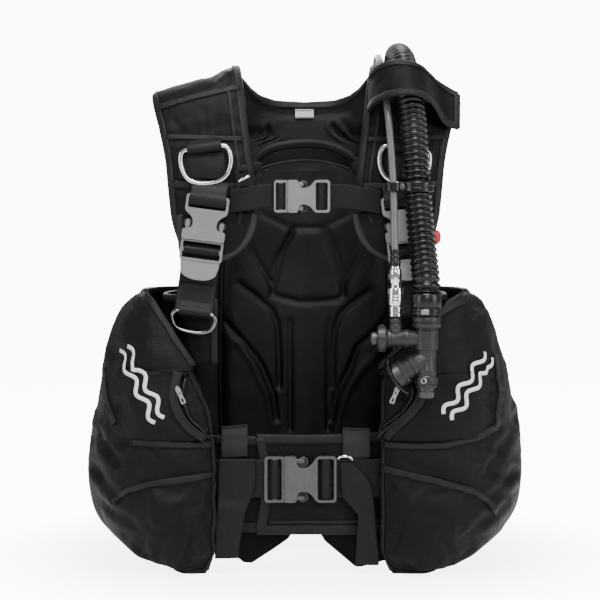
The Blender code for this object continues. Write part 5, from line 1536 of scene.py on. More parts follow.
# free ends of the waist straps: folded over beside the buckle and hanging; rows of (height, one edge, other edge)
TAIL_ROWS = {"right": [(146, -109, -62), (128, -109.5, -61.4), (108, -109.8, -62.2), (99, -110, -65.5), (90, -110.4, -71), (78, -111.2, -75.4), (63, -112, -77.9), (41, -113, -82.0), (20, -113.8, -84.2)],
             "left": [(141, 43.6, 59.5), (126, 43.6, 75.2), (113, 44.2, 83.7), (97, 46.2, 86), (84, 59.5, 87.2), (75, 66.8, 87.9), (52, 65.2, 89.7), (31, 63.7, 92), (11, 63.4, 93)]}
for word, table in TAIL_ROWS.items():
    zz = [r[0] for r in table][::-1]
    xa = [r[1] for r in table][::-1]
    xb = [r[2] for r in table][::-1]
    rows, half = [], []
    n_v, n_u = 52, 17
    for j in range(n_v):
        f = j / (n_v - 1)
        z = zz[-1] + (zz[0] - zz[-1]) * f
        lo, hi = float(np.interp(z, zz, xa)), float(np.interp(z, zz, xb))
        row = []
        for i in range(n_u):
            u = i / (n_u - 1)
            y = -97.6 - 1.6 * math.sin(min(1, f * 1.6) * math.pi) * (0.6 + 0.4 * math.cos(3 * u)) + 1.8 * math.sin(f * 7.5 + 1.4 * u) * f
            if word == "right":
                # flat and close behind the buckle, so that the plug can leave past it
                k_ = max(0.0, min(1.0, (z - 84) / 10.0))
                y = y * (1 - k_) + (-95.3 + 0.25 * math.cos(5 * u)) * k_
            # the lower half turns edge-on on its inner side
            y += 9.0 * max(0.0, f - 0.35) * (u if word == "right" else 1 - u) ** 2
            row.append((lo + (hi - lo) * u, y, z + (5.0 * (u if word == "left" else -0.2 * u)) * max(0, f - 0.8)))
        rows.append(row)
        half.append([0.45] + [0.9] * (n_u - 2) + [0.45])
    P = smooth_rows(np.array(rows), 3)
    ob, *_ = pillow("waist_tail_%s_web" % word, P, np.array(half), WEBM, sub=1)
    fix_normals(ob)
    wd_ = float(np.mean([abs(r[2] - r[1]) for r in table]))
    A = 0.0
    for j in range(n_v - 1):
        for i in range(n_u - 1):
            A += float(np.linalg.norm(np.cross(P[j, i + 1] - P[j, i], P[j + 1, i] - P[j, i])))
    go(ob, "vest", "waist_tail_" + word, slot="webbing")
    # second layer of the fold, behind, made for the left tail only
    y1 = -95.6 if word == "left" else -97.4
    if word == "right":
        fold = [(-84, 143.5), (-104, 143.5), (-107, 139), (-107, 102), (-84, 101)]
    else:
        fold = [(45, 144.5), (84, 144.5), (90, 138), (90, 100), (48, 98)]
    if word == "left":
        M0 = Matrix.Translation(Vector((0, y1, 0))) @ Matrix.Rotation(math.radians(90), 4, "X")
        t_ = extruded("waist_tail_%s_fold" % word, [fold], -0.7, 0.7, WEBM, M0, bevel=0.4, seg=2)
        go(t_, "vest", slot="webbing")
# flaps under the cummerbund that run to the slanted ends
for k_, tri in (("right", [(-116, 60), (-114.5, 25), (-100, 20), (-84, 15), (-79, 10), (-68, 9), (-52, 20), (-36, 31), (-20, 42), (-12, 60)]), ("left", [(14, 60), (24, 39), (40, 25), (55, 12), (64, 4), (72, 4), (88, 9), (104, 14), (113, 22), (116, 60)])):
    rows = []
    top = 60.0
    xs = [p[0] for p in tri]
    lo_edge = tri
    for x in np.linspace(xs[0] + .5, xs[-1] - .5, 40):
        zb = float(np.interp(x, [p[0] for p in lo_edge], [p[1] for p in lo_edge]))
        rows.append([(x, -72 + 2.2 * math.sin((z - 20) / 14.0 + x / 23.0) + 8.0 * (60 - z) / 60.0, z) for z in np.linspace(zb, top, 14)])
    t_, *_ = pillow("under_flap_%s" % k_, np.array(rows), 1.2, LOOP, sub=1)
    fix_normals(t_)
    go(t_, "vest", slot="shell")

for side, word in ((-1, "right"), (1, "left")):
    f = strap_frame((0.13 * -side, 0, 0.991))
    base = Vector(SH_LOC[side])
    up = f.col[0]

    def along(s, out):
        return tuple(base + up * s + Vector((0, -1, 0)) * out)

    strip(word + "_strap_loop_web", [along(84, -10.0), along(76, -9.4), along(68, -7.4), along(61.0, -4.2), along(58.4, -0.5), along(58.8, 3.6), along(61.5, 5.6), along(65.5, 6.2), along(69.5, 5.4), along(73, 3.0), along(77, -1.5), along(82, -6.0), along(90, -9.0)],
          tuple(f.col[1]), 45.5, 1.6, 60, word + "_strap_loop", lump=0.1)
    strip(word + "_lower_web_strip", [along(-4, -7.4), along(-14, -7.5), along(-34, -7.5), along(-50, -7.5), along(-66, -7.2), along(-74, -6.6), along(-79, -4.8), along(-80.5, -1.6), along(-78, 1.0), along(-72.5, 0.4), along(-66, -2.4), along(-58, -4.0), along(-48, -4.9), along(-40, -5.4)],
          tuple(f.col[1]), 48, 1.7, 70, word + "_lower_web", lump=0.1)
    for sx in (-1, 1):
        e0 = Vector(f.col[1]) * (21.0 * sx)
        sb = sweep("%s_lower_web_stitch_%s" % (word, "a" if sx < 0 else "b"), [tuple(Vector(along(s_, o_ + 1.1)) + e0) for s_, o_ in zip(np.linspace(-44, -66, 36), np.interp(np.linspace(-44, -66, 36), [-72.5, -66, -58, -48, -40], [0.4, -2.4, -4.0, -4.9, -5.4]))],
                   circle(0.45, 6), THREAD, up=(0, -1, 0), scale=[1.0 if i % 4 < 3 else 0.35 for i in range(36)])
        fix_normals(sb)
        go(sb, "vest", slot="webbing")

# rounded lower end of each yoke, behind the buckle: thin bound cloth that the strap comes out over
END_OUT = [(390.8, 130), (393, 150), (402, 157.5), (420, 160), (456, 160.5)]
END_IN = [(390.8, 130), (395.5, 101.5), (402.5, 87.6), (412.6, 76), (426.5, 67.2), (443, 62.2), (456, 60.8)]
for side, word in ((-1, "right"), (1, "left")):
    rows, half = [], []
    zs_ = np.concatenate([[390.8, 391.6, 393, 395, 397.5, 400.5], np.linspace(404, 454, 22)])
    for z in zs_:
        a_, b_ = ip(END_OUT, z), ip(END_IN, z)
        rows.append([(side * (a_ + (b_ - a_) * u), -69.5 - 1.2 * math.sin(3.1 * u + z / 17.0) * min(1.0, (454 - z) / 30.0 + 0.2), z) for u in np.linspace(0, 1, 30)])
        half.append([0.7] + [1.5] * 28 + [0.7])
    ef, *_ = pillow(word + "_yoke_end", np.array(rows), np.array(half), YOKE, sub=1)
    fix_normals(ef)
    go(ef, "vest", slot="shell")
    arc_ = [(side * x, z) for z, x in [(454, 64.0), (443, 65.4), (426.8, 70.4), (413.8, 79.0), (404.8, 89.8), (398.6, 102.6), (394.8, 116), (394.4, 132), (396.6, 147), (404, 153.8), (420, 156.4), (452, 157)]]
    # this binding takes the lighter copy of the tape: painted light
    eb_ = sweep(word + "_yoke_end_binding", cat([(x, -69.8, z) for x, z in arc_], 90), [(2.5 * math.cos(a), 4.6 * math.sin(a)) for a in np.linspace(0, 2 * math.pi, 19)[:-1]], BIND_LIT, up=(0, -1, 0))
    fix_normals(eb_)
    go(eb_, "vest", slot="binding")

# ================================================================ rings
def bent_ring(name, node, width, drop, wire, loc, rot, body, mat=STEEL):
    h = width / 2
    M = at_frame(loc, rot)
    pts = [(-h * .80, 0, 0), (-h * .3, 0, 0), (h * .3, 0, 0), (h * .80, 0, 0)]
    bow = cat([(h * .93, -drop * .05), (h, -drop * .22), (h * .99, -drop * .48), (h * .80, -drop * .80), (h * .42, -drop * .97), (0, -drop), (-h * .42, -drop * .97),
               (-h * .80, -drop * .80), (-h * .99, -drop * .48), (-h, -drop * .22), (-h * .93, -drop * .05)], 34)
    allp = [np.array(p) for p in pts] + [np.array((x, 0, z)) for x, z in bow]
    P = np.array(allp + [allp[0]])
    P = lin([tuple(p) for p in P], 1.6)[:-1]
    for _ in range(3):
        P = (np.roll(P, 1, 0) + 2 * P + np.roll(P, -1, 0)) / 4
    W = [tuple(M @ Vector(p)) for p in P]
    ob = sweep(name, W, circle(wire / 2, 20), mat, closed=True, up=(0, -1, 0))
    fix_normals(ob)
    go(ob, body, node, slot="steel")
    return M


for side, word in ((-1, "right"), (1, "left")):
    roll = Matrix.Rotation(math.radians(-7 if side < 0 else 7), 3, "Y")
    lean = Matrix.Rotation(math.radians(-4), 3, "X")
    R3 = roll @ lean
    loc = (side * 127, -72.5, 536)
    M = bent_ring(word + "_shoulder_ring", word + "_shoulder_dring", 63, 45, 6, loc, R3, word + "_shoulder_dring")
    # webbing tab folded round the ring's bar
    tabp = [(0, 11.0, 13), (0, 8.0, 11.5), (0, 1.0, 8.0), (0, -3.2, 4.6), (0, -5.0, 0.4), (0, -3.4, -3.6), (0, 0.6, -5.0), (0, 4.4, -3.4), (0, 7.6, 1.0), (0, 10.6, 6.0)]
    P = [tuple(M @ Vector(p)) for p in tabp]
    tb, *_ = ribbon(word + "_ring_tab", P, tuple(R3 @ Vector((1, 0, 0))), 44, 1.7, WEBM, n=44)
    fix_normals(tb)
    go(tb, "vest", slot="webbing")
    R4 = Matrix.Rotation(math.radians(8 if side < 0 else -8), 3, "Y")
    # the lower ring takes the darker copy of the stainless: painted shade
    M = bent_ring(word + "_lower_ring", word + "_lower_dring", 55, 25, 5, (side * 139, -85.5, 329), R4, word + "_lower_dring", STEEL_SHADED)
    tabp = [(0, 5.5, 14), (0, 0.5, 8), (0, -3.0, 4.4), (0, -4.3, 0.4), (0, -3.0, -3.0), (0, 0.4, -4.3), (0, 3.6, -3.0), (0, 5.6, 1.5), (0, 6.2, 8)]
    tb, *_ = ribbon(word + "_lower_ring_tab", [tuple(M @ Vector(p)) for p in tabp], tuple(R4 @ Vector((1, 0, 0))), 41, 1.6, WEBM, n=40)
    fix_normals(tb)
    go(tb, "vest", slot="webbing")

# ================================================================ carry handle
hp = cat([(-66, 79, 520), (-63, 79, 530), (-48, 78, 541), (-22, 77, 547), (6, 77, 549), (34, 77, 545), (56, 78, 535), (68, 79, 526), (70, 79, 520)], 90)
sec = [(5.4 * math.cos(a), 6.6 * math.sin(a)) for a in np.linspace(0, 2 * math.pi, 21)[:-1]]
hd = sweep("carry_handle_grip", [tuple(p) for p in hp], sec, BIND, up=(0, -1, 0), scale=[1.0 if 6 < i < 83 else 0.8 for i in range(90)])
fix_normals(hd)
go(hd, "carry_handle", "carry_handle", slot="webbing")
ed = sweep("carry_handle_seam", [tuple(p + np.array((0, -5.6, 0.5))) for p in hp[5:85]], [(0.5 * math.cos(a), 1.6 * math.sin(a)) for a in np.linspace(0, 2 * math.pi, 11)[:-1]], BIND, up=(0, -1, 0))
fix_normals(ed)
go(ed, "carry_handle", slot="binding")
for k_, x in (("a", -66), ("b", 70)):
    p = (x, 80, 520)
    bx = strip("carry_handle_anchor_" + k_, [(x, 74.5, 524), (x, 73.8, 519), (x, 74.6, 513), (x, 78, 507)], (1, 0, 0), 17, 1.6, 14, lump=0.1)

# ================================================================ hoses
HOSE_PATH = [(122, 121, 578), (122, 119, 606), (122, 98, 640), (122, 58, 656), (122, 10, 658.5), (125, -38, 643.5), (130, -74, 608), (134, -94, 570),
             (136, -107, 533), (139.5, -118, 471), (144, -132, 415), (147, -145, 380), (147.8, -149, 368), (148, -150, 356.5)]
hc = cat(HOSE_PATH, 1200)
hl = float(np.sum(np.linalg.norm(np.diff(hc, axis=0), axis=1)))
ribs = round(hl / 7.7)
n = ribs * 12 + 1
hc = cat(HOSE_PATH, n)
sc = []
for i in range(n):
    ph = (i / 12.0) % 1.0
    # rounded ridge, narrow valley
    w_ = 0.5 + 0.5 * math.cos(2 * math.pi * ph)
    sc.append(0.825 + 0.175 * min(1.0, 1.15 * w_) ** 0.8)
m_ = min(14, n - 1)
hose = sweep("corrugated_hose_rubber", [tuple(p) for p in hc], circle(17.5, 40), RUBBER, up=(1, 0, 0), scale=sc)
fix_normals(hose)
cp = cat(HOSE_PATH, 200)
go(hose, "vest", "corrugated_hose", slot="rubber")

LP_PATH = [(110, -150, 389.2), (109.8, -148, 402), (109, -138, 430), (109, -126, 470), (107, -111, 525), (103, -92, 580), (98, -58, 629), (95, -15, 653), (94, 30, 655),
           (94, 78, 637), (95, 112, 596), (97, 125, 545), (99, 128, 490), (100, 128, 430), (100, 128, 370), (100, 127, 316)]
lc = cat(LP_PATH, 260)
lp = sweep("lp_hose_tube", [tuple(p) for p in lc], circle(4.5, 20), JACKET, up=(1, 0, 0))
fix_normals(lp)
fit = lathe("lp_hose_end_fitting", [(0, 0), (5.9, 0), (6.3, 0.6), (6.3, 9), (5.4, 10), (7.0, 10.6), (7.0, 14.8), (5.6, 15.6), (4.4, 15.6), (4.4, 27), (3.4, 27.6), (0, 27.6)], (100, 127, 315.4), (0, 0, -1), CHROME, seg=40)
go(lp, "vest", "lp_hose", slot="hose_jacket")
go(fit, "vest", "lp_hose_fitting", slot="chrome")
nuts = []
# crimped sleeve where the hose meets the coupling
slv = lathe("lp_hose_sleeve", [(0, 0), (6.2, 0), (6.5, 0.8), (6.5, 7), (5.9, 8), (6.5, 9), (6.5, 13), (5.9, 14), (6.4, 15), (6.2, 19), (5.0, 20), (0, 20)], (110, -150.1, 388.6), (0, 0.085, 1), BLACKP, seg=36)
go(slv, "vest", slot="black_plastic")

# elbow behind the shoulder
el = lathe("elbow_flange", [(0, 0), (20.0, 0), (21, 1), (21, 4.6), (20, 5.9), (17, 6.2), (15.6, 8), (15.2, 16), (14.4, 20), (11, 21.4), (0, 21.6)], (122, 105.6, 540), (0, 1, 0), BLACKP, seg=56)
go(el, "vest", "hose_elbow", slot="black_plastic")
el2 = lathe("elbow_riser", [(0, 0), (12.4, 0), (14, 1.6), (14, 30), (15.6, 31), (15.6, 34), (14.2, 35), (14.2, 38), (15.6, 39), (15.6, 42), (14, 43), (14, 47.4), (0, 47.4)], (122, 121, 530), (0, 0, 1), BLACKP, seg=48)
go(el2, "vest", slot="black_plastic")
for k in range(12):
    a = math.radians(30 * k)
    r_ = lathe("elbow_rib_%d" % k, [(0, 0), (1.3, 0), (1.6, 0.5), (1.6, 4.6), (1.2, 5.2), (0, 5.2)], (122 + 19.3 * math.cos(a), 106.6, 540 + 19.3 * math.sin(a)), (0, 1, 0), BLACKP, seg=12)
    go(r_, "vest", slot="black_plastic")

# ================================================================ inflator
X, Y = 148, -150
ib = lathe("inflator_valve_body", [(0, 0), (13.2, 0), (14.5, 1.2), (14.5, 24), (13.6, 25), (13.6, 27), (17.0, 28), (17.6, 29), (17.6, 32.6), (16.4, 33.4), (16.4, 34.6), (17.6, 35.4), (17.6, 39.6), (16.8, 41),
                                   (14.4, 42), (14.4, 55), (15.2, 56), (15.2, 65), (13, 67), (0, 67)], (X, Y, 286), (0, 0, 1), INFL, seg=64)
go(ib, "vest", "inflator_body", slot="black_plastic")
lo = lathe("inflator_lower_body", [(0, 0), (11.6, 0), (12.2, 0.8), (12.2, 6), (12.8, 7), (12.8, 10), (12.2, 11), (12.2, 36), (13.2, 38.5), (0, 38.5)], (X, Y, 252), (0, 0, 1), INFL, seg=56)
go(lo, "vest", slot="black_plastic")
cap = lathe("inflator_bottom_cap", [(0, 0.4), (9.6, 0.4), (10.4, 0), (12.2, 0), (13.2, 1.2), (13.2, 3.2), (12.6, 3.9), (13.2, 4.6), (13.2, 13.5), (12.4, 14.6), (11.4, 16), (0, 16)], (X, Y, 240), (0, 0, 1), INFL, seg=64)
go(cap, "vest", slot="black_plastic")
for k in range(10):
    a = math.radians(36 * k + 8)
    r_ = lathe("inflator_cap_grip_%d" % k, [(0, 0), (1.0, 0.2), (1.5, 1), (1.5, 6.0), (1.0, 6.8), (0, 7)], (X + 12.7 * math.cos(a), Y + 12.7 * math.sin(a), 244.2), (0, 0, 1), INFL, seg=10)
    go(r_, "vest", slot="black_plastic")
# small port on the cap
prt = lathe("inflator_cap_port", [(0, 0), (3.6, 0), (3.8, 0.5), (3.2, 1.2), (2.4, 1.2), (2.0, 0.2), (0, 0.1)], (X - 4, Y - 12.3, 249), (-0.28, -0.96, 0), ZIPM, seg=24)
go(prt, "vest", slot="steel")
barp = lathe("inflator_cross_bar", [(0, 0), (14.6, 0), (16, 1.2), (16, 9.2), (15, 10.6), (13.5, 11.4), (12.2, 12), (11.4, 13), (11.4, 16), (10.5, 17), (10.5, 32), (11.6, 34), (11.6, 37), (10.6, 39), (10.6, 60), (0, 60)], (88, Y, 300), (1, 0, 0), INFL, seg=56)
go(barp, "vest", slot="black_plastic")
for k in range(9):
    a = math.radians(40 * k + 12)
    r_ = lathe("inflator_flange_grip_%d" % k, [(0, 0), (0.9, 0.2), (1.3, 1), (1.3, 5.0), (0.9, 5.8), (0, 6)], (90.6, Y + 15.6 * math.cos(a), 300 + 15.6 * math.sin(a)), (1, 0, 0), INFL, seg=10)
    go(r_, "vest", slot="black_plastic")
nip = lathe("inflator_nipple", [(0, 0), (9.2, 0), (9.6, 1), (9.6, 5), (8.2, 6.2), (8.0, 7), (8.0, 12), (7.0, 13), (7.6, 14), (7.6, 18.4), (6.6, 19.6), (5.6, 21), (0, 21)], (110, Y, 305), (0, 0, 1), INFL, seg=48)
go(nip, "vest", slot="black_plastic")
btn = lathe("inflate_button_cap", [(0, 0.6), (5.8, 0.2), (7.2, 0.7), (8.0, 1.8), (8.0, 6.4), (7.4, 7.2), (7.4, 11.2), (0, 11.2)], (80, Y, 300), (1, 0, 0), BUTTON, seg=48)
go(btn, "inflate_button", "inflate_button", slot="black_plastic")
btr = lathe("inflate_button_ring", [(4.9, -0.1), (4.2, 0.3), (4.2, 0.9), (5.4, 0.9), (5.4, 0.3), (4.9, -0.1)], (80, Y, 300), (1, 0, 0), ZIPM, seg=40)
go(btr, "inflate_button", slot="steel")
db = lathe("deflate_button_cap", [(0, 0.5), (7.6, 0.1), (9.2, 0.8), (10, 2.2), (10, 8.0), (9.2, 8.8), (9.2, 10), (10, 10.8), (10, 17), (9.6, 18.5), (0, 18.5)], (X, Y, 227), (0, 0, 1), BUTTON, seg=48)
go(db, "deflate_button", "deflate_button", slot="black_plastic")
nd = Vector((-0.85, 0, -0.52)).normalized()
n0 = Vector((X, Y, 276))
nk = lathe("inflator_neck", [(0, 0), (12.0, 0), (12.5, 1), (12.5, 14), (13.6, 15.2), (13.6, 20), (12.5, 21.2), (12.5, 40), (11.4, 40.5), (9.5, 38), (9.5, 30), (0, 30)], tuple(n0), tuple(nd), INFL, seg=56)
go(nk, "vest", slot="black_plastic")
mp0 = n0 + nd * 30
mp = lathe("mouthpiece_sleeve", [(12.7, 0), (15.2, 0), (15.8, 0.8), (15.8, 4), (15.0, 5), (15.0, 7), (15.6, 8), (15.4, 15), (16.6, 17.2), (16.2, 18.8), (13.6, 19.4), (11.6, 18.6), (10.2, 15), (9.4, 12), (9.4, 11.2), (12.7, 11.0), (12.7, 0)], tuple(mp0), tuple(nd), INFL, seg=56)
go(mp, "vest", "mouthpiece", slot="rubber")
side_v = nd.cross(Vector((0, 1, 0))).normalized()
rotm = Matrix((side_v, nd.cross(side_v), nd)).transposed()
Mm = at_frame(mp0 + nd * 18, rotm)
ell = [(28 * math.cos(a), 17.5 * math.sin(a)) for a in np.linspace(0, 2 * math.pi, 57)[:-1]]
hol = [(13.2 * math.cos(a), 8.8 * math.sin(a)) for a in np.linspace(0, 2 * math.pi, 41)[:-1]]
fl2 = extruded("mouthpiece_flange", [ell, hol[::-1]], -1.2, 1.4, RUBBER, Mm, bevel=0.9, seg=3, crown=lambda x, y, s: -0.010 * x * x)
go(fl2, "vest", slot="rubber")

# quick-disconnect coupling, chromed
qc = lathe("qd_body", [(5.0, 0), (7.2, 0), (8.6, 1.0), (8.6, 4.6), (7.8, 5.2), (7.8, 6.2), (8.6, 6.8), (8.6, 12.2), (7.6, 13.2), (6.4, 14), (6.4, 40), (7.2, 41), (7.6, 41.6), (7.6, 57), (6.8, 58.6), (6.2, 60), (6.2, 62), (5.0, 62), (5.0, 0)], (110, Y, 326.6), (0, 0, 1), CHROME, seg=56)
go(qc, "vest", "qd_coupling", slot="chrome")
hexs = [(8.3 * math.cos(math.radians(60 * k)), 8.3 * math.sin(math.radians(60 * k))) for k in range(6)]
hx = extruded("qd_hex", [hexs, circle(6.0, 24)[::-1]], 45.5, 52.5, CHROME, Matrix.Translation(Vector((110, Y, 326.6))), bevel=0.7, seg=2)
go(hx, "vest", slot="chrome")
ql = lathe("qd_sliding_collar", [(6.8, 14.5), (9.2, 14.5), (9.8, 16), (9.8, 18.4), (9.3, 19), (9.8, 19.6), (9.8, 22.0), (9.3, 22.6), (9.8, 23.2), (9.8, 25.6), (9.3, 26.2), (9.8, 26.8), (9.8, 33), (9.2, 35), (6.8, 35), (6.8, 14.5)], (110, Y, 326.6), (0, 0, 1), CHROME, seg=56)
go(ql, "qd_collar", "qd_collar", slot="chrome")

# hose tie on the inflator, with its screw block
tie = lathe("hose_tie_band", [(17.2, 0), (18.6, 0), (19.2, 0.6), (19.2, 3.2), (18.7, 3.8), (18.7, 4.6), (19.2, 5.2), (19.2, 7.9), (18.6, 8.5), (17.2, 8.5), (17.2, 0)], (X, Y, 329), (0, 0, 1), BLACKP, seg=64)
go(tie, "vest", "hose_tie", slot="black_plastic")
cuff = lathe("hose_cuff", [(15.4, 0), (18.2, 0), (18.8, 1.0), (18.8, 15.0), (18.0, 16.6), (16.4, 17.6), (15.4, 17.6), (15.4, 0)], (X - 0.1, Y + 0.2, 338.2), (0, 0.02, 1), RUBBER, seg=56)
go(cuff, "vest", slot="rubber")
for k_, an in (("a", 262),):
    a = math.radians(an)
    blk = extruded("hose_tie_block_" + k_, [rrect(9.5, 6.0, 1.2, 0, 0, 3)], -1.2, 1.6, ZIPM, at_frame((X + 19.2 * math.cos(a), Y + 19.2 * math.sin(a), 333.2), strap_frame((-math.sin(a), math.cos(a) * 0.0 + 0.0, 0.02)) if False else
                   Matrix((Vector((-math.sin(a), math.cos(a), 0)), Vector((0, 0, 1)), Vector((math.cos(a), math.sin(a), 0)))).transposed()), bevel=0.6, seg=2)
    go(blk, "vest", slot="steel")

# clip that keeps both hoses together
hp3, lp3 = (138.6, -115.3), (108.4, -121.8)
cl = lathe("hose_clip_band", [(19.2, 0), (20.4, 0), (21.1, 0.8), (21.1, 4.4), (20.4, 5.2), (20.4, 6.8), (21.1, 7.6), (21.1, 11.2), (20.4, 12), (19.2, 12), (19.2, 0)], (hp3[0], hp3[1], 480), (0, -0.0, 1), BLACKP, seg=64)
go(cl, "vest", "hose_clip", slot="black_plastic")
cs = lathe("hose_clip_small_ring", [(5.8, 0), (9.6, 0), (10.4, 0.8), (10.4, 10.2), (9.6, 11), (5.8, 11), (5.8, 0)], (lp3[0], lp3[1], 480.5), (0, 0, 1), BLACKP, seg=48)
go(cs, "vest", slot="black_plastic")
br = extruded("hose_clip_bridge", [[(113, -128), (122, -129), (124, -124), (122, -117), (113, -116)]], 481, 491, BLACKP, Matrix.Identity(4), bevel=1.0, seg=2)
go(br, "vest", slot="black_plastic")
rv = lathe("hose_clip_stud", [(0, 2.2), (2.4, 2.0), (3.4, 1.2), (3.6, 0), (0, 0)], (119.5, -129.2, 486), (-0.12, -0.99, 0), BUTTON, seg=28)
go(rv, "vest", slot="black_plastic")

# ================================================================ shoulder wrap over the hoses
WRAP = ([(82, -44, 630), (88, -58, 636), (97, -70, 641), (112, -78, 644), (130, -82, 643), (146, -74, 638), (156, -58, 631), (170, -46, 620), (196, -42, 606)],
        [(80, -64, 582), (86, -84, 590), (97, -103, 596), (114, -119, 600), (134, -122, 600), (152, -112, 594), (164, -92, 583), (176, -70, 567), (194, -60, 560)])
ta, tb2 = cat(WRAP[0], 60), cat(WRAP[1], 60)
rows = []
for f in np.linspace(0, 1, 22):
    rows.append(ta + (tb2 - ta) * f)
C = smooth_rows(np.array(rows), 1, axis=1)
N = normals_of(C)
if float(N[..., 1].mean()) > 0:
    N = -N
for j in range(22):
    for i in range(60):
        p = C[j, i]
        C[j, i] = p + N[j, i] * (0.7 * wob(p, 16, 3.0) + 0.8 * math.sin(i / 3.2 + j / 7.0) * max(0, (i - 38) / 22.0))
wr, T, B = pillow("hose_wrap_flap", C, 1.3, YOKE, N=N, sub=1)
fix_normals(wr)
T, B = orient(T, N), orient(B, -N)
dv_ = float(np.mean(np.sum(np.linalg.norm(np.diff(C, axis=0), axis=2), axis=0)))
go(wr, "vest", "hose_wrap", slot="webbing")
for key, path, inw in (("top", [(0.01, 0), (0.5, 0), (0.99, 0)], (0, 1)), ("low", [(0.01, 1), (0.5, 1), (0.99, 1)], (0, -1)), ("end", [(1, 0.03), (1, 0.5), (1, 0.97)], (-1, 0))):
    b = bound_edge("hose_wrap_binding_" + key, T, B, path, inw, 7.5, BIND, step=3.0)
    fix_normals(b)
    go(b, "vest", slot="binding")

# ================================================================ dump valve and pull cord
dv = lathe("dump_valve_cover", [(0, 14.4), (6, 14.9), (7, 14.2), (9, 14.2), (10, 14.9), (14, 14.6), (19, 12.5), (21.6, 9.6), (23, 7), (23, 3.4), (22, 2.8), (22, 1.8), (23, 1.2), (23, 0), (0, 0)], (146, 105.4, 492), (0, 1, 0), BLACKP, seg=64)
go(dv, "vest", "dump_valve", slot="black_plastic")
for k in range(16):
    a = math.radians(22.5 * k)
    r_ = lathe("dump_valve_grip_%d" % k, [(0, 0), (1.2, 0.2), (1.6, 1), (1.6, 5.6), (1.1, 6.6), (0, 6.8)], (146 + 22 * math.cos(a), 106, 492 + 22 * math.sin(a)), (0, 1, 0), BLACKP, seg=10)
    go(r_, "vest", slot="black_plastic")
gd = extruded("dump_cord_guide", [rrect(26, 5, 2, 166, 480, 4)], -2.4, 2.4, BLACKP, Matrix.Translation(Vector((0, 112, 0))) @ Matrix.Rotation(math.radians(90), 4, "X") , bevel=0.8, seg=2)
go(gd, "vest", slot="black_plastic")
cdp = [(177, 112, z) for z in np.linspace(490, 430, 30)]
cd = sweep("dump_pull_cord", cdp, [((0.9 + 0.08 * math.cos(6 * a)) * math.cos(a), (0.9 + 0.08 * math.cos(6 * a)) * math.sin(a)) for a in np.linspace(0, 2 * math.pi, 25)[:-1]], CORD, up=(1, 0, 0))
fix_normals(cd)
bead = lathe("dump_pull_bead", [(0, 10), (2.6, 9.5), (5.2, 7.6), (6.7, 4.7), (7.2, 1.4), (7.2, -1.4), (6.7, -4.7), (5.2, -7.6), (2.6, -9.5), (0, -10)], (177.6, 112, 423.5), (0, 0, 1), REDP, seg=40, smooth_angle=80)
go(cd, "dump_pull", "dump_pull", slot="red")
go(bead, "dump_pull", slot="red")

# ================================================================ tank plate, band and cam buckle
for nd_ in ("backpack_plate",):
    bpy.data.objects[nd_].data.materials.clear()
    bpy.data.objects[nd_].data.materials.append(PLATE)
    bv = bpy.data.objects[nd_].modifiers.new("edge", "BEVEL")
    bv.width, bv.segments, bv.limit_method, bv.angle_limit = 0.0012, 3, "ANGLE", math.radians(40)
TC, BR = 211.0, 94.2
bpts = [(-82.3, 117.5), (-82.1, 111.5), (-79.6, 108.0), (-70, 107.2), (-36, 107.2), (0, 107.2), (36, 107.2), (70, 107.2), (79.6, 108.0), (82.1, 111.5), (82.3, 117.5)]
for a in (-36, -22, -8, 6, 20, 34, 48, 62, 74, 86, 93):
    bpts.append((BR * math.cos(math.radians(a)), TC + BR * math.sin(math.radians(a))))
pre = [(BR * math.cos(math.radians(a)), TC + BR * math.sin(math.radians(a))) for a in (216, 202, 188, 174, 160, 148, 138, 131)]
bpts = pre[::-1] + bpts
bd, *_ = ribbon("tank_band_web", [(x, y, 262) for x, y in bpts], (0, 0, 1), 50, 2.1, WEBM, n=190)
fix_normals(bd)
go(bd, "vest", "tank_band", slot="webbing")
# loose end of the band, laid back along itself
en = [((BR + 3.0) * math.cos(math.radians(a)), TC + (BR + 3.0) * math.sin(math.radians(a))) for a in np.linspace(92, 58, 14)]
eb, *_ = ribbon("tank_band_free_end", [(x, y, 262.4) for x, y in en], (0, 0, 1), 49, 1.9, WEBM, n=40)
fix_normals(eb)
go(eb, "vest", slot="webbing")
# grip liner inside the band
gl = [((BR - 1.9) * math.cos(math.radians(a)), TC + (BR - 1.9) * math.sin(math.radians(a))) for a in np.linspace(-30, 88, 40)]
lin_, *_ = ribbon("tank_band_grip", [(x, y, 262) for x, y in gl], (0, 0, 1), 42, 1.2, RUBBER, n=110)
fix_normals(lin_)
go(lin_, "vest", slot="rubber")
am = math.radians(112)
camc = Vector((math.cos(am) * (BR + 2.5), TC + math.sin(am) * (BR + 2.5), 262))
tang = Vector((-math.sin(am), math.cos(am), 0))
outv = Vector((math.cos(am), math.sin(am), 0))
rotc = Matrix((tang, outv, tang.cross(outv))).transposed()
CM = Matrix.Translation(camc) @ rotc.to_4x4() @ Matrix.Rotation(math.radians(-90), 4, "X")
frm = extruded("cam_frame_body", [rrect(56, 62, 6, 0, 0, 6), rrect(5, 52, 2, -21, 0, 4)[::-1], rrect(5, 52, 2, 21, 0, 4)[::-1], rrect(4, 44, 1.8, 0, 0, 4)[::-1]], -2.5, 2.5, BLACKP, CM, bevel=1.3, seg=3)
go(frm, "vest", "cam_buckle_frame", slot="black_plastic")
for k, sz in enumerate((-28.5, 28.5)):
    MM = Matrix.Translation(camc) @ rotc.to_4x4() @ Matrix.Translation(Vector((-18, 0, sz)))
    ear = extruded("cam_frame_ear_%d" % k, [[(-7, 1), (7, 1), (7, 9)] + arc(0, 9, 6.5, 0, 180, 12)[1:] + [(-7, 9)]], -2, 2, BLACKP, MM, bevel=0.8, seg=2)
    go(ear, "vest", slot="black_plastic")
hpv = camc + rotc @ Vector((-18, 9, 0))
LM = Matrix.Translation(hpv) @ rotc.to_4x4() @ Matrix.Rotation(math.radians(-90), 4, "X")
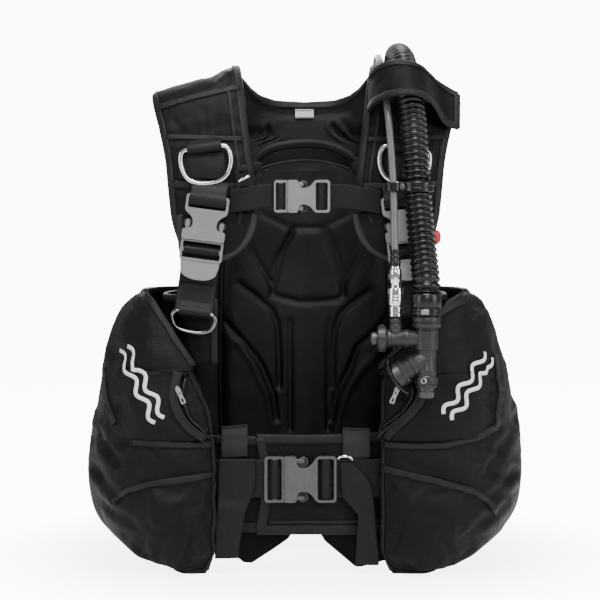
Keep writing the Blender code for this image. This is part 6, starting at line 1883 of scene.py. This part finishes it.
lev = extruded("cam_lever_plate", [[(-3, -25), (-3, 25), (6, 25.4), (40, 23.5), (58, 21), (62.5, 17), (63.8, 8), (63.8, -8), (62.5, -17), (58, -21), (40, -23.5), (6, -25.4)], rrect(26, 20, 5, 28, 0, 5)[::-1]], -2.5, 2.5, BLACKP, LM,
               bevel=1.2, seg=3, crown=lambda x, y, s: 0.0)
go(lev, "cam_lever", "cam_lever", slot="black_plastic")
for k in range(4):
    g = extruded("cam_lever_grip_%d" % k, [rrect(1.8, 26, 0.8, 46 + k * 4.2, 0, 3)], 2.0, 3.4, BLACKP, LM, bevel=0.5, seg=2)
    go(g, "cam_lever", slot="black_plastic")
cp_ = sweep("cam_lever_pin", [tuple(hpv + Vector((0, 0, z))) for z in np.linspace(-31, 31, 12)], circle(2.2, 20), STEEL, up=(1, 0, 0))
fix_normals(cp_)
go(cp_, "cam_lever", slot="steel")

# ================================================================ zip pulls
ZP = {-1: (-155.15, -129.6, 231.5), 1: (111.86, -125.7, 231.5)}
for side, word in ((-1, "right"), (1, "left")):
    b0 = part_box(word + "_zip_pull")
    c0 = (Vector(b0[0]) + Vector(b0[1])) / 2 * 1000
    d = Vector((side * -0.40, 0, -0.92)).normalized()
    f = strap_frame(d)
    M = at_frame((c0.x, c0.y - DY, c0.z), f)
    outl = [(-8, -2.2), (-8, 2.2), (-6.6, 3.2), (-2.5, 2.4), (4.6, 3.2), (7.4, 2.9), (8, 2.0), (8, -2.0), (7.4, -2.9), (4.6, -3.2), (-2.5, -2.4), (-6.6, -3.2)]
    zp = extruded(word + "_zip_pull_tab", [outl, rrect(2.6, 2.2, 0.9, -6.0, 0, 4)[::-1], rrect(5.6, 2.2, 0.9, 3.6, 0, 4)[::-1]], 1.1, 3.2, ZIPM, M, bevel=0.5, seg=3)
    go(zp, word + "_zip_pull", word + "_zip_pull", slot="steel")
    sl = extruded(word + "_zip_slider", [[(-14, -2.6), (-15.5, 0), (-14, 2.6), (-9.5, 3.4), (-6.5, 2.0), (-6.5, -2.0), (-9.5, -3.4)]], -3.2, 1.5, ZIPM, M, bevel=0.7, seg=2)
    go(sl, word + "_lobe", slot="steel")


# ================================================================ floor and end
fl = bpy.data.meshes.new("floor")
fl.from_pydata([(-6, -6, 0), (6, -6, 0), (6, 6, 0), (-6, 6, 0)], [], [(0, 1, 2, 3)])
fl.materials.append(nf.m)
floor = bpy.data.objects.new("floor", fl)
SC.collection.objects.link(floor)

bpy.context.view_layer.update()
